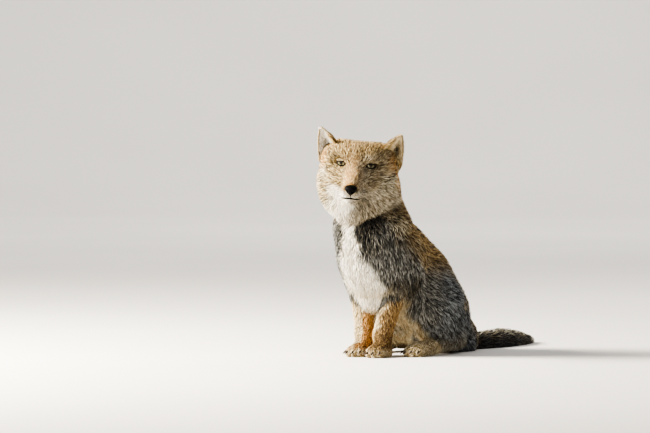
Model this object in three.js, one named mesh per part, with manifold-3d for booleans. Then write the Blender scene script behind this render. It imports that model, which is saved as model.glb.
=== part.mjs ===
// A Tibetan sand fox sitting on its haunches, life size, as a still museum model.
// Millimetres, +Z up. The body faces -Y, its left side is +X, and the floor is Z = 0.
// The flesh and coat are one smooth form, a blend of named ellipsoids and tapered
// limbs. The form is meshed part by part and parted with thin cuts.
import * as THREE from "three";
import { mergeVertices } from "three/addons/utils/BufferGeometryUtils.js";
import Module from "manifold-3d";

const wasm = await Module();
wasm.setup();

// ---------------------------------------------------------------- driving sizes
const SLIT = 0.5; // gap between neighbouring parts
const SIDES = { left: 1, right: -1 };
const DEG = Math.PI / 180;

// The head turns to the fox's left, dips and tips a little.
const HEAD = {
  eyes: new THREE.Vector3(30.6, -74.8, 344.1), // midpoint between the two eye openings
  yaw: 30.5 * DEG,
  pitch: 18 * DEG,
  roll: 5.5 * DEG,
};
const EYE_RADIUS = 9.5;
const EYE_SPACING = 50; // between eyeball centres
const NOSE_WIDTH = 20.5;

const FOREPAW = { x: 22, y: 6, width: 36, length: 58, height: 27 };
const HINDPAW = { x: 60, y: 70, width: 38, length: 62, height: 27 };
const ELBOW = { x: 34.5, y: 29, z: 112 };
const WRIST = { x: 20, y: 16, z: 38 };
const KNEE = { x: 60, y: 98, z: 84 };
const HOCK = { x: 62, y: 180, z: 24 };

// The tail leaves the rump and lies on the floor behind, swinging a little to the fox's right.
const TAIL = new THREE.CatmullRomCurve3([
  new THREE.Vector3(0, 256, 11),
  new THREE.Vector3(8, 318, 4),
  new THREE.Vector3(10, 388, 7),
  new THREE.Vector3(2, 450, 4),
  new THREE.Vector3(-10, 515, 3),
]);
const TAIL_RADII = [25, 26, 26, 21, 8];
const TAIL_PIECES = 12;

// ---------------------------------------------------------------- smooth fields
// A field is negative inside a form, positive outside, and close to the distance.
const vector = (p) => new THREE.Vector3(...p);

function ellipsoid(centre, radii, tilt = 0) {
  // tilt turns the ellipsoid about the X axis, in degrees
  const c = Math.cos(tilt * DEG);
  const s = Math.sin(tilt * DEG);
  return (x, y, z) => {
    const dx = (x - centre[0]) / radii[0];
    const ry = y - centre[1];
    const rz = z - centre[2];
    const dy = (ry * c + rz * s) / radii[1];
    const dz = (rz * c - ry * s) / radii[2];
    const near = Math.hypot(dx, dy, dz);
    const slope = Math.hypot(dx / radii[0], dy / radii[1], dz / radii[2]);
    return slope < 1e-9 ? -Math.min(...radii) : (near * (near - 1)) / slope;
  };
}

function taper(from, to, startRadius, endRadius) {
  // a limb whose radius runs evenly from one end to the other, with round ends
  const a = vector(from);
  const along = vector(to).sub(a);
  const length2 = along.lengthSq();
  return (x, y, z) => {
    const px = x - a.x;
    const py = y - a.y;
    const pz = z - a.z;
    const share = (px * along.x + py * along.y + pz * along.z) / length2;
    const t = Math.min(1, Math.max(0, share));
    const d = Math.hypot(px - along.x * t, py - along.y * t, pz - along.z * t);
    return d - (startRadius + (endRadius - startRadius) * t);
  };
}

function blend(forms) {
  // joins [field, fillet] pairs one after another, each with a fillet of that size
  return (x, y, z) => {
    let total = forms[0][0](x, y, z);
    for (const [field, fillet] of forms.slice(1)) {
      const next = field(x, y, z);
      const h = Math.max(0, fillet - Math.abs(total - next)) / fillet;
      total = Math.min(total, next) - (h * h * fillet) / 4;
    }
    return total;
  };
}

function hollow(field, dent, fillet) {
  // presses the dent into the field with a soft edge
  return (x, y, z) => {
    const body = field(x, y, z);
    const cut = -dent(x, y, z);
    const h = Math.max(0, fillet - Math.abs(body - cut)) / fillet;
    return Math.max(body, cut) + (h * h * fillet) / 4;
  };
}

// the same form on both sides of the body
const mirrored = (forms) => forms.map(([form, fillet]) => [(x, y, z) => form(Math.abs(x), y, z), fillet]);

// ---------------------------------------------------------------- the head's own frame
// In the head's frame the origin lies between the eyes, -Y points to the nose, +X to
// the fox's left and +Z to the crown.
const headFrame = new THREE.Matrix4()
  .makeTranslation(HEAD.eyes)
  .multiply(new THREE.Matrix4().makeRotationZ(HEAD.yaw))
  .multiply(new THREE.Matrix4().makeRotationX(HEAD.pitch))
  .multiply(new THREE.Matrix4().makeRotationY(HEAD.roll));
const toHead = headFrame.clone().invert();

function inHeadFrame(field) {
  const m = toHead.elements;
  return (x, y, z) =>
    field(
      m[0] * x + m[4] * y + m[8] * z + m[12],
      m[1] * x + m[5] * y + m[9] * z + m[13],
      m[2] * x + m[6] * y + m[10] * z + m[14],
    );
}

const eyeCentre = (side) => [(side * EYE_SPACING) / 2, 8.5, 0];

function headForm() {
  const both = (make) => Object.values(SIDES).map(make);
  let form = blend([
    [ellipsoid([0, 42, -9], [62, 52, 36]), 0], // cranium under the crown's coat
    ...both((s) => [ellipsoid([s * 36, 44, 1], [27, 34, 26]), 16]), // crown corners before the ears
    ...both((s) => [ellipsoid([s * 38, 48, -50], [36, 44, 49]), 18]), // cheek ruff
    [ellipsoid([0, 34, -78], [58, 47, 45]), 20], // throat ruff
    [ellipsoid([0, 24, 4], [46, 28, 24]), 14], // forehead
    ...both((s) => [ellipsoid([s * 24, 7, 8], [17, 11, 8]), 10]), // brow ridge
    ...both((s) => [ellipsoid([s * 23, 16, -34], [25, 30, 25]), 14]), // cheek beside the muzzle
    [taper([0, 8, -12], [0, -54, -26], 26, 13.5), 14], // bridge and sides of the muzzle
    ...both((s) => [ellipsoid([s * 9.5, -50, -34], [12, 18, 11]), 8]), // lip pads
    [taper([0, 14, -52], [0, -43, -49], 26, 9.5), 14], // lower jaw and chin
  ]);
  for (const side of Object.values(SIDES)) {
    // the eye sits in a shallow almond hollow under the brow
    form = hollow(form, ellipsoid([side * 30, -9, 0], [13.5, 12, 7.5]), 6);
  }
  return form;
}

// ---------------------------------------------------------------- body and limbs
const TOE_ANGLES = [-21, -7, 7, 21]; // how the four toes fan out, in degrees

function onToe(paw, angle, past) {
  // a place past the root of a toe, on the line it fans out along
  const reach = paw.length * (Math.abs(angle) > 15 ? 0.6 : 0.69) + past;
  return [paw.x + reach * Math.sin(angle * DEG), paw.y + paw.length * 0.33 - reach * Math.cos(angle * DEG)];
}

function pawForms(paw) {
  return [
    [ellipsoid([paw.x, paw.y, 8], [paw.width / 2, paw.length / 2, paw.height - 8]), 8],
    ...TOE_ANGLES.map((angle) => [ellipsoid([...onToe(paw, angle, 0), 7], [6.5, 11, 12.5]), 3]),
  ];
}

// the limbs of the left side
const foreleg = [
  [ellipsoid([45, 43, 166], [32, 42, 58], -12), 26], // shoulder and upper arm
  [taper([45, 42, 140], [ELBOW.x, ELBOW.y, ELBOW.z], 30, 21), 16],
  [taper([ELBOW.x, ELBOW.y, ELBOW.z], [WRIST.x, WRIST.y, WRIST.z], 22, 17), 12],
  [taper([WRIST.x, WRIST.y, WRIST.z], [FOREPAW.x, FOREPAW.y + 10, 15], 17, 14.5), 8],
  ...pawForms(FOREPAW),
];
const hindleg = [
  [ellipsoid([45, 149, 76], [36, 70, 60], 8), 34], // thigh
  [ellipsoid([44, 90, 116], [34, 38, 44]), 24], // fold of the flank
  [taper([50, 142, 80], [KNEE.x, KNEE.y, KNEE.z], 44, 32), 26],
  [taper([KNEE.x, KNEE.y, KNEE.z], [HOCK.x, HOCK.y, HOCK.z], 30, 18), 14],
  [taper([HOCK.x, HOCK.y, HOCK.z], [HINDPAW.x, HINDPAW.y + 18, 13], 17, 15), 10], // metatarsus
  ...pawForms(HINDPAW),
];

function tail() {
  const radiusAt = (t) => {
    const step = t * (TAIL_RADII.length - 1);
    const k = Math.min(TAIL_RADII.length - 2, Math.floor(step));
    return THREE.MathUtils.lerp(TAIL_RADII[k], TAIL_RADII[k + 1], step - k);
  };
  return Array.from({ length: TAIL_PIECES }, (_, k) => {
    const [t0, t1] = [k / TAIL_PIECES, (k + 1) / TAIL_PIECES];
    const [from, to] = [t0, t1].map((t) => TAIL.getPoint(t).toArray());
    return [taper(from, to, radiusAt(t0), radiusAt(t1)), 8];
  });
}

const torso = [
  [ellipsoid([0, 80, 161], [67, 99, 81], -42), 0], // rib cage
  [ellipsoid([0, 12, 190], [67, 66, 76]), 34], // breast and its long coat
  [ellipsoid([0, 20, 120], [31, 36, 44]), 20], // the coat that hangs between the forelegs
  [ellipsoid([0, 13, 233], [76, 61, 50]), 24], // collar of the neck
  [taper([0, 14, 250], [4, 2, 300], 56, 54), 24], // neck inside the ruff
  [ellipsoid([0, 145, 126], [69, 67, 71]), 34], // loin
  [ellipsoid([0, 193, 56], [66, 62, 62]), 30], // rump
  [ellipsoid([0, 235, 21], [60, 58, 54]), 26], // seat
];
const fox = blend([
  ...torso,
  ...mirrored(foreleg),
  ...mirrored(hindleg),
  ...tail(),
  [inHeadFrame(headForm()), 8],
]);
// each pair of legs without the other, so that elbow and knee don't run together
const forequarters = blend([...torso, ...mirrored(foreleg)]);
const hindquarters = blend([...torso, ...mirrored(hindleg)]);

// ---------------------------------------------------------------- from field to solid
function solidOf(geometry) {
  // a closed three.js geometry as a manifold-3d solid
  const bare = new THREE.BufferGeometry();
  bare.setAttribute("position", geometry.getAttribute("position").clone());
  if (geometry.index) bare.setIndex(geometry.index.clone());
  const merged = mergeVertices(bare, 1e-4);
  const triVerts = new Uint32Array(merged.index.array);
  const vertProperties = merged.attributes.position.array;
  return new wasm.Manifold(new wasm.Mesh({ numProp: 3, vertProperties, triVerts }));
}

function geometryOf(solid) {
  const mesh = solid.getMesh();
  const places = new Float32Array(mesh.numVert * 3);
  for (let i = 0; i < mesh.numVert; i++) {
    places.set(mesh.vertProperties.subarray(i * mesh.numProp, i * mesh.numProp + 3), i * 3);
  }
  const geometry = new THREE.BufferGeometry();
  geometry.setAttribute("position", new THREE.BufferAttribute(places, 3));
  geometry.setIndex(new THREE.BufferAttribute(new Uint32Array(mesh.triVerts), 1));
  return geometry;
}

// Surface nets: one vertex in each grid cell that the surface crosses, at the mean of
// the crossings on the cell's edges, and one quad round each crossed grid edge.
function settle(field, point, limit) {
  // one step along the slope of the field, so that the vertex lies on the form
  const step = 0.5;
  const value = field(...point);
  const slope = point.map((_, n) => {
    const next = [...point];
    next[n] += step;
    return (field(...next) - value) / step;
  });
  const steepness = Math.max(1e-3, slope.reduce((sum, v) => sum + v * v, 0));
  const reach = THREE.MathUtils.clamp(value / steepness, -limit, limit);
  return point.map((v, n) => v - reach * slope[n]);
}

function surfaceOf(field, low, high, cell) {
  const count = low.map((v, k) => Math.ceil((high[k] - v) / cell) + 3);
  const [nx, ny, nz] = count;
  const start = low.map((v) => v - cell);
  const at = (i, j, k) => i + nx * (j + ny * k);
  const place = (i, j, k) => [start[0] + i * cell, start[1] + j * cell, start[2] + k * cell];
  const values = new Float32Array(nx * ny * nz);
  for (let k = 0; k < nz; k++) {
    for (let j = 0; j < ny; j++) {
      for (let i = 0; i < nx; i++) {
        const rim = i === 0 || j === 0 || k === 0 || i === nx - 1 || j === ny - 1 || k === nz - 1;
        values[at(i, j, k)] = rim ? cell : field(...place(i, j, k));
      }
    }
  }
  const corners = [0, 1, 2, 3, 4, 5, 6, 7].map((c) => [c & 1, (c >> 1) & 1, c >> 2]);
  const edges = corners.flatMap((a, m) =>
    corners.flatMap((b, n) => {
      const apart = Math.abs(a[0] - b[0]) + Math.abs(a[1] - b[1]) + Math.abs(a[2] - b[2]);
      return n > m && apart === 1 ? [[a, b]] : [];
    }),
  );
  const vertices = [];
  const cellVertex = new Map();
  for (let k = 0; k < nz - 1; k++) {
    for (let j = 0; j < ny - 1; j++) {
      for (let i = 0; i < nx - 1; i++) {
        const sum = [0, 0, 0];
        let crossings = 0;
        for (const [a, b] of edges) {
          const va = values[at(i + a[0], j + a[1], k + a[2])];
          const vb = values[at(i + b[0], j + b[1], k + b[2])];
          if (va < 0 === vb < 0) continue;
          const t = va / (va - vb);
          crossings++;
          for (let n = 0; n < 3; n++) sum[n] += a[n] + (b[n] - a[n]) * t;
        }
        if (!crossings) continue;
        cellVertex.set(at(i, j, k), vertices.length / 3);
        const mean = place(i, j, k).map((v, n) => v + (cell * sum[n]) / crossings);
        vertices.push(...settle(field, mean, cell / 3));
      }
    }
  }
  const faces = [];
  const steps = [
    [1, 0, 0],
    [0, 1, 0],
    [0, 0, 1],
  ];
  for (let k = 1; k < nz - 1; k++) {
    for (let j = 1; j < ny - 1; j++) {
      for (let i = 1; i < nx - 1; i++) {
        const here = values[at(i, j, k)] < 0;
        steps.forEach((step, axis) => {
          const there = values[at(i + step[0], j + step[1], k + step[2])] < 0;
          if (here === there) return;
          const u = steps[(axis + 1) % 3];
          const v = steps[(axis + 2) % 3];
          const ring = [
            [0, 0],
            [1, 0],
            [1, 1],
            [0, 1],
          ].map(([m, n]) =>
            cellVertex.get(at(i - u[0] * m - v[0] * n, j - u[1] * m - v[1] * n, k - u[2] * m - v[2] * n)),
          );
          if (!here) ring.reverse();
          faces.push(ring[0], ring[1], ring[2], ring[0], ring[2], ring[3]);
        });
      }
    }
  }
  const geometry = new THREE.BufferGeometry();
  geometry.setAttribute("position", new THREE.BufferAttribute(new Float32Array(vertices), 3));
  geometry.setIndex(faces);
  return geometry;
}

function formIn(form, low, high, cell) {
  // the part of a form inside a box, closed by the box
  const inBox = (x, y, z) =>
    Math.max(form(x, y, z), low[0] - x, x - high[0], low[1] - y, y - high[1], low[2] - z, z - high[2]);
  return solidOf(surfaceOf(inBox, low, high, cell));
}

// ---------------------------------------------------------------- cutting tools
function block(low, high, matrix = new THREE.Matrix4()) {
  const size = high.map((v, k) => v - low[k]);
  const geometry = new THREE.BoxGeometry(...size);
  geometry.translate(...high.map((v, k) => (v + low[k]) / 2));
  return solidOf(geometry.applyMatrix4(matrix));
}

const FAR = 700; // past every edge of the fox

function beyond({ point, normal }, lift = 0) {
  // a block that fills the side of a plane that its normal points to
  const up = vector(normal).normalize();
  const turn = new THREE.Quaternion().setFromUnitVectors(new THREE.Vector3(0, 0, 1), up);
  const origin = vector(point).addScaledVector(up, lift);
  const matrix = new THREE.Matrix4().compose(origin, turn, new THREE.Vector3(1, 1, 1));
  return block([-FAR, -FAR, 0], [FAR, FAR, FAR], matrix);
}

function behind({ point, normal }) {
  // the other side of the plane, a slit away
  return beyond({ point, normal: normal.map((v) => -v) }, SLIT);
}

// ---------------------------------------------------------------- ears, eyes, nose, claws
// An ear is a cupped leaf. Its base runs down the corner of the head from the crown
// outwards, its outer edge stands upright and its inner edge slopes up to the tip.
const EAR = {
  root: [56.5, 40, 4],
  tip: [70.5, 30, 52],
  across: [0.57, 0.36, -0.74], // from the inner to the outer corner of the base
  halfWidth: 27,
  cup: 10, // depth of the hollow in front
  wall: 5, // with the coat on both faces
  shift: 2.5, // both ears stand a little to the fox's left
  rows: 7,
  columns: 6,
};

function ear(side, grow = 0) {
  const root = vector(EAR.root);
  const axis = vector(EAR.tip).sub(root);
  const length = axis.length() + 2 * grow;
  axis.normalize();
  const across = vector(EAR.across).normalize();
  const back = new THREE.Vector3().crossVectors(axis, across).normalize();
  const leaf = (s, v, face) => {
    // s from -1 to 1 across the ear, v from 0 to 1 along it, face 0 in front, 1 behind
    const leafWidth = EAR.halfWidth * (1 - v) ** (s > 0 ? 0.66 : 0.9) * (1 + 0.28 * v);
    const width = leafWidth + grow;
    const edge = Math.min(1, (s * width) ** 2 / leafWidth ** 2 || 0); // 0 midway, 1 at the rim
    const wall = EAR.wall * (1 - 0.6 * v) * (1 - 0.55 * edge) + 2 * grow;
    const cup = EAR.cup * (1 - v * v) * (1 - edge);
    return root
      .clone()
      .addScaledVector(axis, length * v - grow)
      .addScaledVector(across, width * s)
      .addScaledVector(back, cup + wall * (face - 0.5));
  };
  const points = [];
  for (let row = 0; row < EAR.rows; row++) {
    const v = row / EAR.rows;
    for (let c = 0; c <= EAR.columns; c++) points.push(leaf((2 * c) / EAR.columns - 1, v, 0));
    for (let c = EAR.columns; c >= 0; c--) points.push(leaf((2 * c) / EAR.columns - 1, v, 1));
  }
  const ring = 2 * (EAR.columns + 1);
  const tip = points.push(leaf(0, 1, 0.5)) - 1;
  const heel = points.push(leaf(0, 0, 0.5).addScaledVector(axis, -1)) - 1;
  const faces = [];
  for (let n = 0; n < ring; n++) {
    const next = (n + 1) % ring;
    for (let row = 0; row < EAR.rows - 1; row++) {
      const [a, b] = [row * ring + n, row * ring + next];
      faces.push(a, b, b + ring, a, b + ring, a + ring);
    }
    const last = (EAR.rows - 1) * ring;
    faces.push(last + n, last + next, tip, next, n, heel);
  }
  const geometry = new THREE.BufferGeometry().setFromPoints(points);
  geometry.setIndex(faces);
  if (side < 0) {
    geometry.scale(-1, 1, 1);
    const order = geometry.index.array;
    for (let i = 0; i < order.length; i += 3) [order[i], order[i + 1]] = [order[i + 1], order[i]];
  }
  return solidOf(geometry.translate(EAR.shift, 0, 0).applyMatrix4(headFrame));
}

function ball(centre, radii, matrix, columns, rows) {
  const geometry = new THREE.SphereGeometry(1, columns, rows);
  geometry.rotateX(Math.PI / 2);
  geometry.scale(...radii).translate(...centre);
  return solidOf(geometry.applyMatrix4(matrix));
}

const eye = (side, grow = 0) =>
  ball(eyeCentre(side), Array(3).fill(EYE_RADIUS + grow), headFrame, 12, 7);

const noseLeather = (grow = 0) =>
  ball([0, -66, -23.5], [NOSE_WIDTH / 2 + grow, 10.5 + grow, 9.5 + grow], headFrame, 12, 8);

const CLAW = { length: 11, radius: 2, dip: 32 * DEG };

function claw(side, paw, angle, grow = 0) {
  // a six-sided spike that points forward from the toe and dips to the floor
  const [x, y] = onToe(paw, angle, 11.5);
  const geometry = new THREE.ConeGeometry(CLAW.radius + grow, CLAW.length + 2 * grow, 6);
  const matrix = new THREE.Matrix4()
    .makeTranslation(side * x, y, 7)
    .multiply(new THREE.Matrix4().makeRotationZ(side * angle * DEG))
    .multiply(new THREE.Matrix4().makeRotationX(Math.PI + CLAW.dip));
  return solidOf(geometry.applyMatrix4(matrix));
}

// ---------------------------------------------------------------- cuts that part the body
const HEAD_CUT = { point: [8, -79, 243.5], normal: [0.06, -0.59, 0.81] };
const NECK_CUT = { point: [0, -58, 196], normal: [0, -0.34, 0.94] };
const TAIL_ROOT_CUT = { point: [0, 284, 0], normal: [0, 0.97, -0.24] };
const TAIL_MIDDLE_CUT = { point: [0, 400, 0], normal: [-0.1, 0.99, 0] };
const WRIST_CUT = { point: [0, 0, 31], normal: [0, 0, -1] };
const LEG_GAP = { point: [0, 34, 0], normal: [0, 0.976, -0.217] }; // between foreleg and hind leg
// the face takes in the eyes and the muzzle down to the mouth, in the head's frame
const FACE = { low: [-50, -140, -44], high: [50, 20, 18] };
const JAW = { low: [-34, -140, -100], high: [34, 2, -44] };
const floor = block([-FAR, -FAR, -FAR], [FAR, FAR, 0]);

// an upright oval seen from the side, through everything outside of x = inner
function sideOval(side, centre, radii, tilt, inner, grow) {
  const outline = new THREE.Shape();
  outline.absellipse(...centre, radii[0] + grow, radii[1] + grow, 0, 2 * Math.PI, false, tilt * DEG);
  const geometry = new THREE.ExtrudeGeometry(outline, { depth: 150, bevelEnabled: false, curveSegments: 20 });
  // the outline's axes become Y and Z, and the depth becomes X
  const turn = new THREE.Matrix4().makeBasis(
    new THREE.Vector3(0, 1, 0), new THREE.Vector3(0, 0, 1), new THREE.Vector3(1, 0, 0));
  geometry.applyMatrix4(turn);
  geometry.translate(side > 0 ? inner - grow : -150 - inner + grow, 0, 0);
  return solidOf(geometry);
}

function sideBlock(side, low, high, grow) {
  const xs = [low[0] - grow, high[0] + grow];
  const [x0, x1] = side > 0 ? xs : [-xs[1], -xs[0]];
  return block([x0, low[1] - grow, low[2] - grow], [x1, high[1] + grow, high[2] + grow]);
}

const shoulderCut = (side, grow) =>
  sideOval(side, [46, 151], [45, 70], -12, 27, grow)
    .add(sideBlock(side, [SLIT, -60, -20], [FAR, 90, 88], grow))
    .subtract(beyond(LEG_GAP, grow - SLIT));
const footCut = (side, grow) =>
  sideBlock(side, [30, 20, -20], [FAR, 190, 37], grow)
    .add(sideBlock(side, [SLIT, 20, -20], [31, 100, 37], grow))
    .intersect(beyond(LEG_GAP, -grow));
const thighCut = (side, grow) =>
  sideOval(side, [142, 78], [88, 66], 4, 27, grow).intersect(beyond(LEG_GAP, -grow));

// ---------------------------------------------------------------- materials and assembly
const finish = (color, roughness) => new THREE.MeshStandardMaterial({ color, roughness, metalness: 0 });
const sandCoat = finish(0xb08e5c, 0.95);
const greyCoat = finish(0x77736c, 0.95);
const paleCoat = finish(0xe2d8c6, 0.95);
const darkCoat = finish(0x3f3b37, 0.95);
const iris = finish(0xb9a86a, 0.15);
const leather = finish(0x17171a, 0.45);
const horn = finish(0x3a322b, 0.5);

const model = new THREE.Group();

function add(name, solid, material) {
  const mesh = new THREE.Mesh(geometryOf(solid), material);
  mesh.name = name;
  model.add(mesh);
}

const sides = Object.entries(SIDES);

// the head, with seats for the ears, the eyes and the nose
const inHead = ({ low, high }, grow = 0) =>
  block(low.map((v) => v - grow), high.map((v) => v + grow), headFrame);
const faceFlesh = formIn(fox, [-60, -168, 262], [116, -30, 400], 9).subtract(noseLeather(SLIT));
let face = faceFlesh.intersect(inHead(FACE));
let head = formIn(fox, [-110, -168, 225], [126, 75, 420], 15).intersect(beyond(HEAD_CUT));
for (const [, side] of sides) {
  face = face.subtract(eye(side, SLIT)).subtract(ear(side, 2 * SLIT));
  head = head.subtract(ear(side, 2 * SLIT));
}
const jaw = formIn(fox, [-60, -168, 225], [116, -30, 330], 10).subtract(inHead(FACE, SLIT));
add("head", head.subtract(inHead(FACE, SLIT)).subtract(inHead(JAW, SLIT)), sandCoat);
add("face", face, sandCoat);
add("lower_jaw", jaw.intersect(inHead(JAW)).intersect(beyond(HEAD_CUT)), paleCoat);
add("nose", noseLeather(), leather);
for (const [word, side] of sides) {
  add("ear_" + word, ear(side), sandCoat);
  add("eye_" + word, eye(side), iris);
}

// the neck and the trunk
const neck = formIn(fox, [-115, -110, 165], [115, 140, 350], 21);
add("neck", neck.intersect(beyond(NECK_CUT)).intersect(behind(HEAD_CUT)), greyCoat);
let trunk = formIn(fox, [-115, -110, -13], [115, 310, 330], 26)
  .subtract(floor)
  .intersect(behind(NECK_CUT))
  .intersect(behind(TAIL_ROOT_CUT))
  .subtract(sideBlock(1, [-SLIT, -60, -20], [SLIT, 90, 88], SLIT).subtract(beyond(LEG_GAP, 0)));

// the legs
for (const [word, side] of sides) {
  const across = side > 0 ? [0, 120] : [-120, 0];
  const foreFlesh = formIn(forequarters, [across[0], -60, -13], [across[1], 110, 225], 15).subtract(floor);
  const fore = foreFlesh.intersect(shoulderCut(side, 0));
  const pawFlesh = formIn(forequarters, [across[0], -60, -13], [across[1], 80, 45], 10.5).subtract(floor);
  let forepaw = pawFlesh.intersect(shoulderCut(side, 0)).intersect(beyond(WRIST_CUT));
  const hindFlesh = formIn(hindquarters, [across[0], 20, -13], [across[1], 250, 160], 18).subtract(floor);
  const thigh = hindFlesh.intersect(thighCut(side, 0)).subtract(footCut(side, SLIT));
  const footFlesh = formIn(hindquarters, [across[0], 20, -13], [across[1], 210, 50], 14).subtract(floor);
  let foot = footFlesh.intersect(footCut(side, 0));
  TOE_ANGLES.forEach((angle, k) => {
    forepaw = forepaw.subtract(claw(side, FOREPAW, angle, SLIT));
    foot = foot.subtract(claw(side, HINDPAW, angle, SLIT));
    add("foreclaw_" + word + "_" + (k + 1), claw(side, FOREPAW, angle), horn);
    add("hindclaw_" + word + "_" + (k + 1), claw(side, HINDPAW, angle), horn);
  });
  add("foreleg_" + word, fore.intersect(behind(WRIST_CUT)), greyCoat);
  add("forepaw_" + word, forepaw, sandCoat);
  add("thigh_" + word, thigh, greyCoat);
  add("hindfoot_" + word, foot, paleCoat);
  trunk = trunk.subtract(shoulderCut(side, SLIT)).subtract(thighCut(side, SLIT)).subtract(footCut(side, SLIT));
}
add("trunk", trunk, greyCoat);

// the tail in two lengths
const tailFlesh = formIn(fox, [-90, 265, -13], [80, 560, 70], 15).subtract(floor);
add("tail_root", tailFlesh.intersect(beyond(TAIL_ROOT_CUT)).intersect(behind(TAIL_MIDDLE_CUT)), darkCoat);
add("tail_brush", tailFlesh.intersect(beyond(TAIL_MIDDLE_CUT)), darkCoat);

// the origin is on the floor under the middle of the whole model
const bounds = new THREE.Box3().setFromObject(model);
model.position.set(-(bounds.min.x + bounds.max.x) / 2, -(bounds.min.y + bounds.max.y) / 2, -bounds.min.z);

export default model;
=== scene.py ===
import bpy
import numpy as np
from mathutils import Matrix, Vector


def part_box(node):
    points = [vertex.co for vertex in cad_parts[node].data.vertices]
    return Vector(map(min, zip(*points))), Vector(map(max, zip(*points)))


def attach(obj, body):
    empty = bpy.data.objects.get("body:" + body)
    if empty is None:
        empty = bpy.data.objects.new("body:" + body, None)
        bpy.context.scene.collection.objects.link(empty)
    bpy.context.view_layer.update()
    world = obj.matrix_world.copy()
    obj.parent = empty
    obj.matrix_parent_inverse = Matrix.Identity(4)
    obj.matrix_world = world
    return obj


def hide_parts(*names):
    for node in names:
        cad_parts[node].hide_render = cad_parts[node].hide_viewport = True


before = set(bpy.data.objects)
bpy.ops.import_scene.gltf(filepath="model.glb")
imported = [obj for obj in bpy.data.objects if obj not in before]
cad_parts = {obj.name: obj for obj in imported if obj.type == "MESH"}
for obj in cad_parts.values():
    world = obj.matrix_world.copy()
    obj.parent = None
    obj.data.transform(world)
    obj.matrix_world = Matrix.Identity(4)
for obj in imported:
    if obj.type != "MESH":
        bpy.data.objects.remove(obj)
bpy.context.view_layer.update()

# ------------------------------------------------------------------ camera
# The camera is level with the fox's breast, off its left front, behind a long lens.
# The fox's measures in this file are millimetres from a point on the floor between
# its forepaws; the places of the two eyes in the frame tell where that point is.
EYES = np.array([30.6, -74.8, 344.1])  # midway between the two eye openings
TURN, DIP, TIP = 30.5, 18.0, 5.5  # degrees the head turns to its left, dips and tips
EYE_BACK = 8.5  # the eyeballs' centres behind the openings
VIEW_AZIMUTH, VIEW_ELEVATION, VIEW_DISTANCE, VIEW_LENS = 38.0, 2.0, 8000.0, 249.0
VIEW_RIGHT, VIEW_UP = -76.5, 250.0  # where the lens points: this far to the right, this high


def turned(axis, degrees):
    """The rotation matrix about one axis (0, 1 or 2) by the right-hand rule."""
    c, s = np.cos(np.radians(degrees)), np.sin(np.radians(degrees))
    m = np.eye(3)
    a, b = (axis + 1) % 3, (axis + 2) % 3
    m[a, a], m[a, b], m[b, a], m[b, b] = c, -s, s, c
    return m


def axes_at(sideways, upward, backward, place):
    """The matrix of an object at a place, from the directions of its X, Y and Z axes."""
    columns = np.stack([sideways, upward, backward], 1)
    return Matrix([[*row, p] for row, p in zip(columns, place)] + [[0, 0, 0, 1]])


head_axes = turned(2, TURN) @ turned(0, DIP) @ turned(1, TIP)  # columns X, Y, Z of the head
eye_middles = [np.mean(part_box(name), axis=0) * 1000 for name in ("eye_left", "eye_right")]
HOME = sum(eye_middles) / 2 - (EYES + head_axes @ [0, EYE_BACK, 0])


def metres(points):
    """Fox millimetres to frame metres."""
    return (np.asarray(points, float) + HOME) / 1000


def from_head(points):
    """The head's own frame (-Y to the nose, +X to its left, +Z to the crown) to the fox's."""
    return EYES + np.asarray(points, float) @ head_axes.T


az, el = np.radians(VIEW_AZIMUTH), np.radians(VIEW_ELEVATION)
toward = np.array([np.sin(az) * np.cos(el), -np.cos(az) * np.cos(el), np.sin(el)])
right = np.array([np.cos(az), np.sin(az), 0])
up = np.cross(toward, right)
lens = bpy.data.cameras.new("camera")
lens.lens, lens.sensor_width, lens.clip_end = VIEW_LENS, 36.0, 60.0
camera = bpy.data.objects.new("camera", lens)
place = metres(right * VIEW_RIGHT + up * VIEW_UP + toward * VIEW_DISTANCE)
camera.matrix_world = axes_at(right, up, toward, place)
bpy.context.scene.collection.objects.link(camera)
bpy.context.scene.camera = camera

# ------------------------------------------------------------------ skin
# The hide under the coat is one closed skin over head, body, legs and tail, with no
# seam. It is the fox's outer form drawn in by the depth of the coat, which is under
# 3 mm on muzzle and paws and 14 mm on neck, breast and back. Its colour is the
# underfur's, and the markings are those of the coat.
SKIN_CELL = 2.6
NOSE_TIP = (0.0, -78.0, -26.0)  # in the head's frame; the hair of the head grows away from it

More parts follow.
